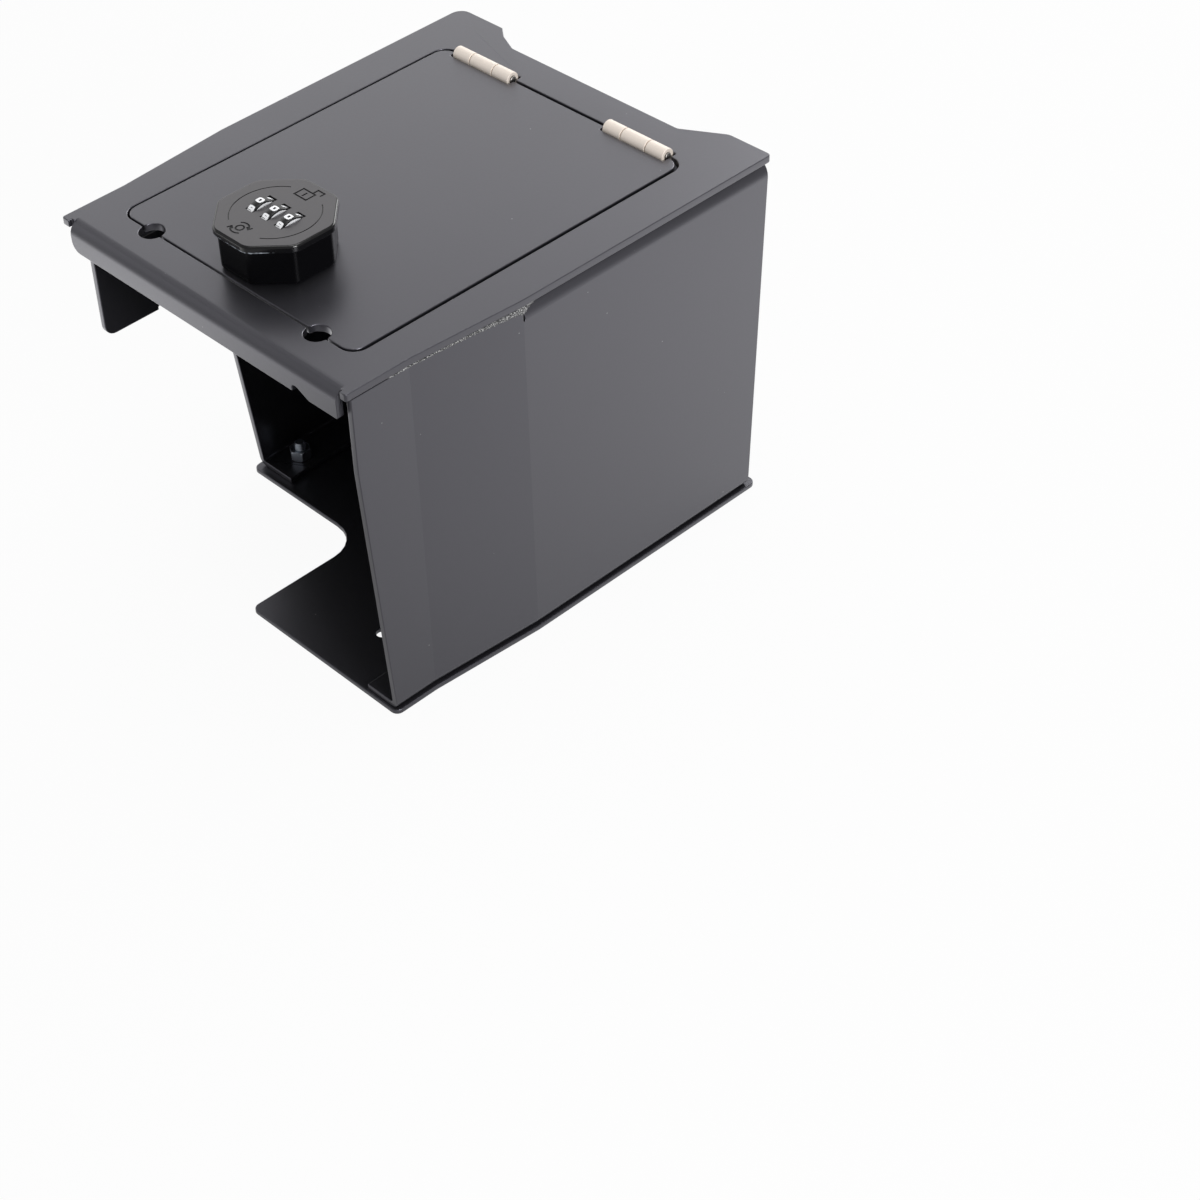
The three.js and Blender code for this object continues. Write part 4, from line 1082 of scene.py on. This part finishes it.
def studio_floor():
    """A pale floor that keeps the shadow, is near white for the camera, and lies brighter to
    the left and the rear, where the safe's front edge and right panel mirror it."""
    made, tree, place_of = material("Pale studio floor")
    if not tree:
        return made
    seen, path = seen_directly(tree)
    part = add(tree, "SeparateXYZ", {"Vector": place_of}).outputs
    beside = add(tree, "MapRange", {"Value": part["X"], "From Min": -0.04, "From Max": -0.2,
                                    "To Min": 0.0, "To Max": 1.5})
    behind = add(tree, "MapRange", {"Value": part["Y"], "From Min": -0.15, "From Max": 0.25,
                                    "To Min": 0.3, "To Max": 1.33})
    mirrored = add(tree, "Math", {0: beside, 1: behind}, operation="ADD")
    away = add(tree, "VectorMath", {0: place_of}, operation="LENGTH")
    near = add(tree, "MapRange", {"Value": away.outputs["Value"], "From Min": 0.4,
                                  "From Max": 0.65, "To Min": 1.0, "To Max": 0.3})
    mirrored = add(tree, "Math", {0: mirrored, 1: near}, operation="MULTIPLY")
    strength = add(tree, "Mix", {"Factor": seen, "A": mirrored, "B": 1.0})
    share = add(tree, "Math", {0: path["Is Glossy Ray"], 1: 0.6}, operation="MULTIPLY")
    share = add(tree, "Mix", {"Factor": seen, "A": share, "B": 0.95})
    plain = add(tree, "BsdfDiffuse", {"Color": linear(colours().floor)})
    glow = add(tree, "Emission", {"Strength": strength})
    add(tree, "OutputMaterial", {"Surface": add(tree, "MixShader",
                                                {0: share, 1: plain, 2: glow})})
    made.cycles.emission_sampling = "NONE"
    return made


def surroundings():
    """White for the camera. For light, a pale backdrop behind and beside the safe up to about
    35 degrees, and a dim room above it and on the camera's side."""
    world = bpy.data.worlds.new("White surroundings")
    world.use_nodes = True
    tree = world.node_tree
    tree.nodes.clear()
    way = add(tree, "TexCoord").outputs["Generated"]
    height = add(tree, "SeparateXYZ", {"Vector": way}).outputs["Z"]
    rear = add(tree, "VectorMath", {0: way, 1: BACKDROP}, operation="DOT_PRODUCT")
    low = add(tree, "MapRange", {"Value": height, "From Min": 0.46, "From Max": 0.635,
                                 "To Min": 1.0, "To Max": 0.0},
              interpolation_type="SMOOTHSTEP")
    behind = add(tree, "MapRange", {"Value": rear.outputs["Value"], "From Min": 0.3,
                                    "From Max": 0.7}, interpolation_type="SMOOTHSTEP")
    bright = add(tree, "Math", {0: low, 1: behind}, operation="MULTIPLY")
    light = add(tree, "MapRange", {"Value": bright, "To Min": DIM_ROOM,
                                   "To Max": BRIGHT_BACKDROP})
    seen, _ = seen_directly(tree)
    strength = add(tree, "Mix", {"Factor": seen, "A": light, "B": 1.0})
    sky = add(tree, "Background", {"Color": (1, 1, 1, 1), "Strength": strength})
    add(tree, "OutputWorld", {"Surface": sky})
    return world


def camera_turn():
    """Right, up and back of the camera as columns, from its azimuth, elevation and roll."""
    azimuth, elevation, roll = np.radians([CAMERA_AZIMUTH, CAMERA_ELEVATION, CAMERA_ROLL])
    back = np.array([np.sin(azimuth) * np.cos(elevation),
                     -np.cos(azimuth) * np.cos(elevation), np.sin(elevation)])
    right = np.cross([0, 0, 1], back)
    right /= np.linalg.norm(right)
    up = np.cross(back, right)
    rolled_right = np.cos(roll) * right + np.sin(roll) * up
    rolled_up = -np.sin(roll) * right + np.cos(roll) * up
    return Matrix(np.column_stack([rolled_right, rolled_up, back]).tolist())


class CONSOLESAFE_OT_stage(bpy.types.Operator):
    """Set the studio: pale floor, soft lamps, white surroundings and the camera"""
    bl_idname = "console_safe.stage"
    bl_label = "Studio"

    def execute(self, context):
        half, drop = 4000.0, 0.2
        corners = np.array([[-half, -half, -drop], [half, -half, -drop], [half, half, -drop],
                            [-half, half, -drop]])
        floor = linked("studio_floor", mesh_of("studio_floor", corners, [[0, 1, 2, 3]]))
        floor.data.materials.append(studio_floor())
        for name, place_mm, size_mm, power in (
                ("Overhead soft box", (0, 200, 1500), (900, 900), 6.0),
                ("Rear soft box", (-150, 1150, 750), (900, 600), 6.0),
                ("Right soft box", (1350, -300, 700), (500, 500), 13.0)):
            soft_box(name, place_mm, (0, 0, 80), size_mm, power)
        context.scene.world = surroundings()
        camera = linked("Camera", bpy.data.cameras.new("Camera"))
        camera.matrix_world = (Matrix.Translation(Vector(CAMERA_PLACE) * MM)
                               @ camera_turn().to_4x4())
        camera.data.sensor_fit = "HORIZONTAL"
        camera.data.sensor_width = SENSOR
        camera.data.lens = FOCAL_PIXELS * SENSOR / IMAGE_SIZE
        camera.data.shift_x = (IMAGE_SIZE / 2 - PRINCIPAL_X) / IMAGE_SIZE
        camera.data.clip_start = 0.01
        camera.data.clip_end = 50
        context.scene.camera = camera
        context.scene.view_settings.view_transform = "Standard"
        return {"FINISHED"}


class CONSOLESAFE_PT_panel(bpy.types.Panel):
    """Lists the pieces, their sizes and their colours"""
    bl_label = "Console safe"
    bl_idname = "CONSOLESAFE_PT_panel"
    bl_space_type = "VIEW_3D"
    bl_region_type = "UI"
    bl_category = "Console safe"

    def draw(self, context):
        for operator in OPERATORS:
            self.layout.operator(operator.bl_idname)
        for group in (context.scene.console_safe_sizes, context.scene.console_safe_colours):
            for name in group.bl_rna.properties.keys():
                if name not in ("rna_type", "name"):
                    self.layout.prop(group, name)


bl_info = {
    "name": "Console safe",
    "version": (1, 0, 0),
    "blender": (4, 5, 0),
    "location": "View3D > Sidebar > Console safe",
    "description": "Finishes the pieces of a steel console safe around its CAD frame",
    "category": "Object",
}

OPERATORS = (
    CONSOLESAFE_OT_sheets,
    CONSOLESAFE_OT_welds,
    CONSOLESAFE_OT_lid,
    CONSOLESAFE_OT_hinges,
    CONSOLESAFE_OT_fasteners,
    CONSOLESAFE_OT_knob,
    CONSOLESAFE_OT_dials,
    CONSOLESAFE_OT_lock,
    CONSOLESAFE_OT_stage,
)
CLASSES = (ConsoleSafeSizes, ConsoleSafeColours, *OPERATORS, CONSOLESAFE_PT_panel)


def register():
    for each in CLASSES:
        bpy.utils.register_class(each)
    bpy.types.Scene.console_safe_sizes = bpy.props.PointerProperty(type=ConsoleSafeSizes)
    bpy.types.Scene.console_safe_colours = bpy.props.PointerProperty(type=ConsoleSafeColours)


def unregister():
    del bpy.types.Scene.console_safe_colours
    del bpy.types.Scene.console_safe_sizes
    for each in reversed(CLASSES):
        bpy.utils.unregister_class(each)


def main():
    register()
    bpy.ops.console_safe.sheets()
    bpy.ops.console_safe.welds()
    bpy.ops.console_safe.lid()
    bpy.ops.console_safe.hinges()
    bpy.ops.console_safe.fasteners()
    bpy.ops.console_safe.knob()
    bpy.ops.console_safe.dials()
    bpy.ops.console_safe.lock()
    bpy.ops.console_safe.stage()


if __name__ == "__main__":
    main()
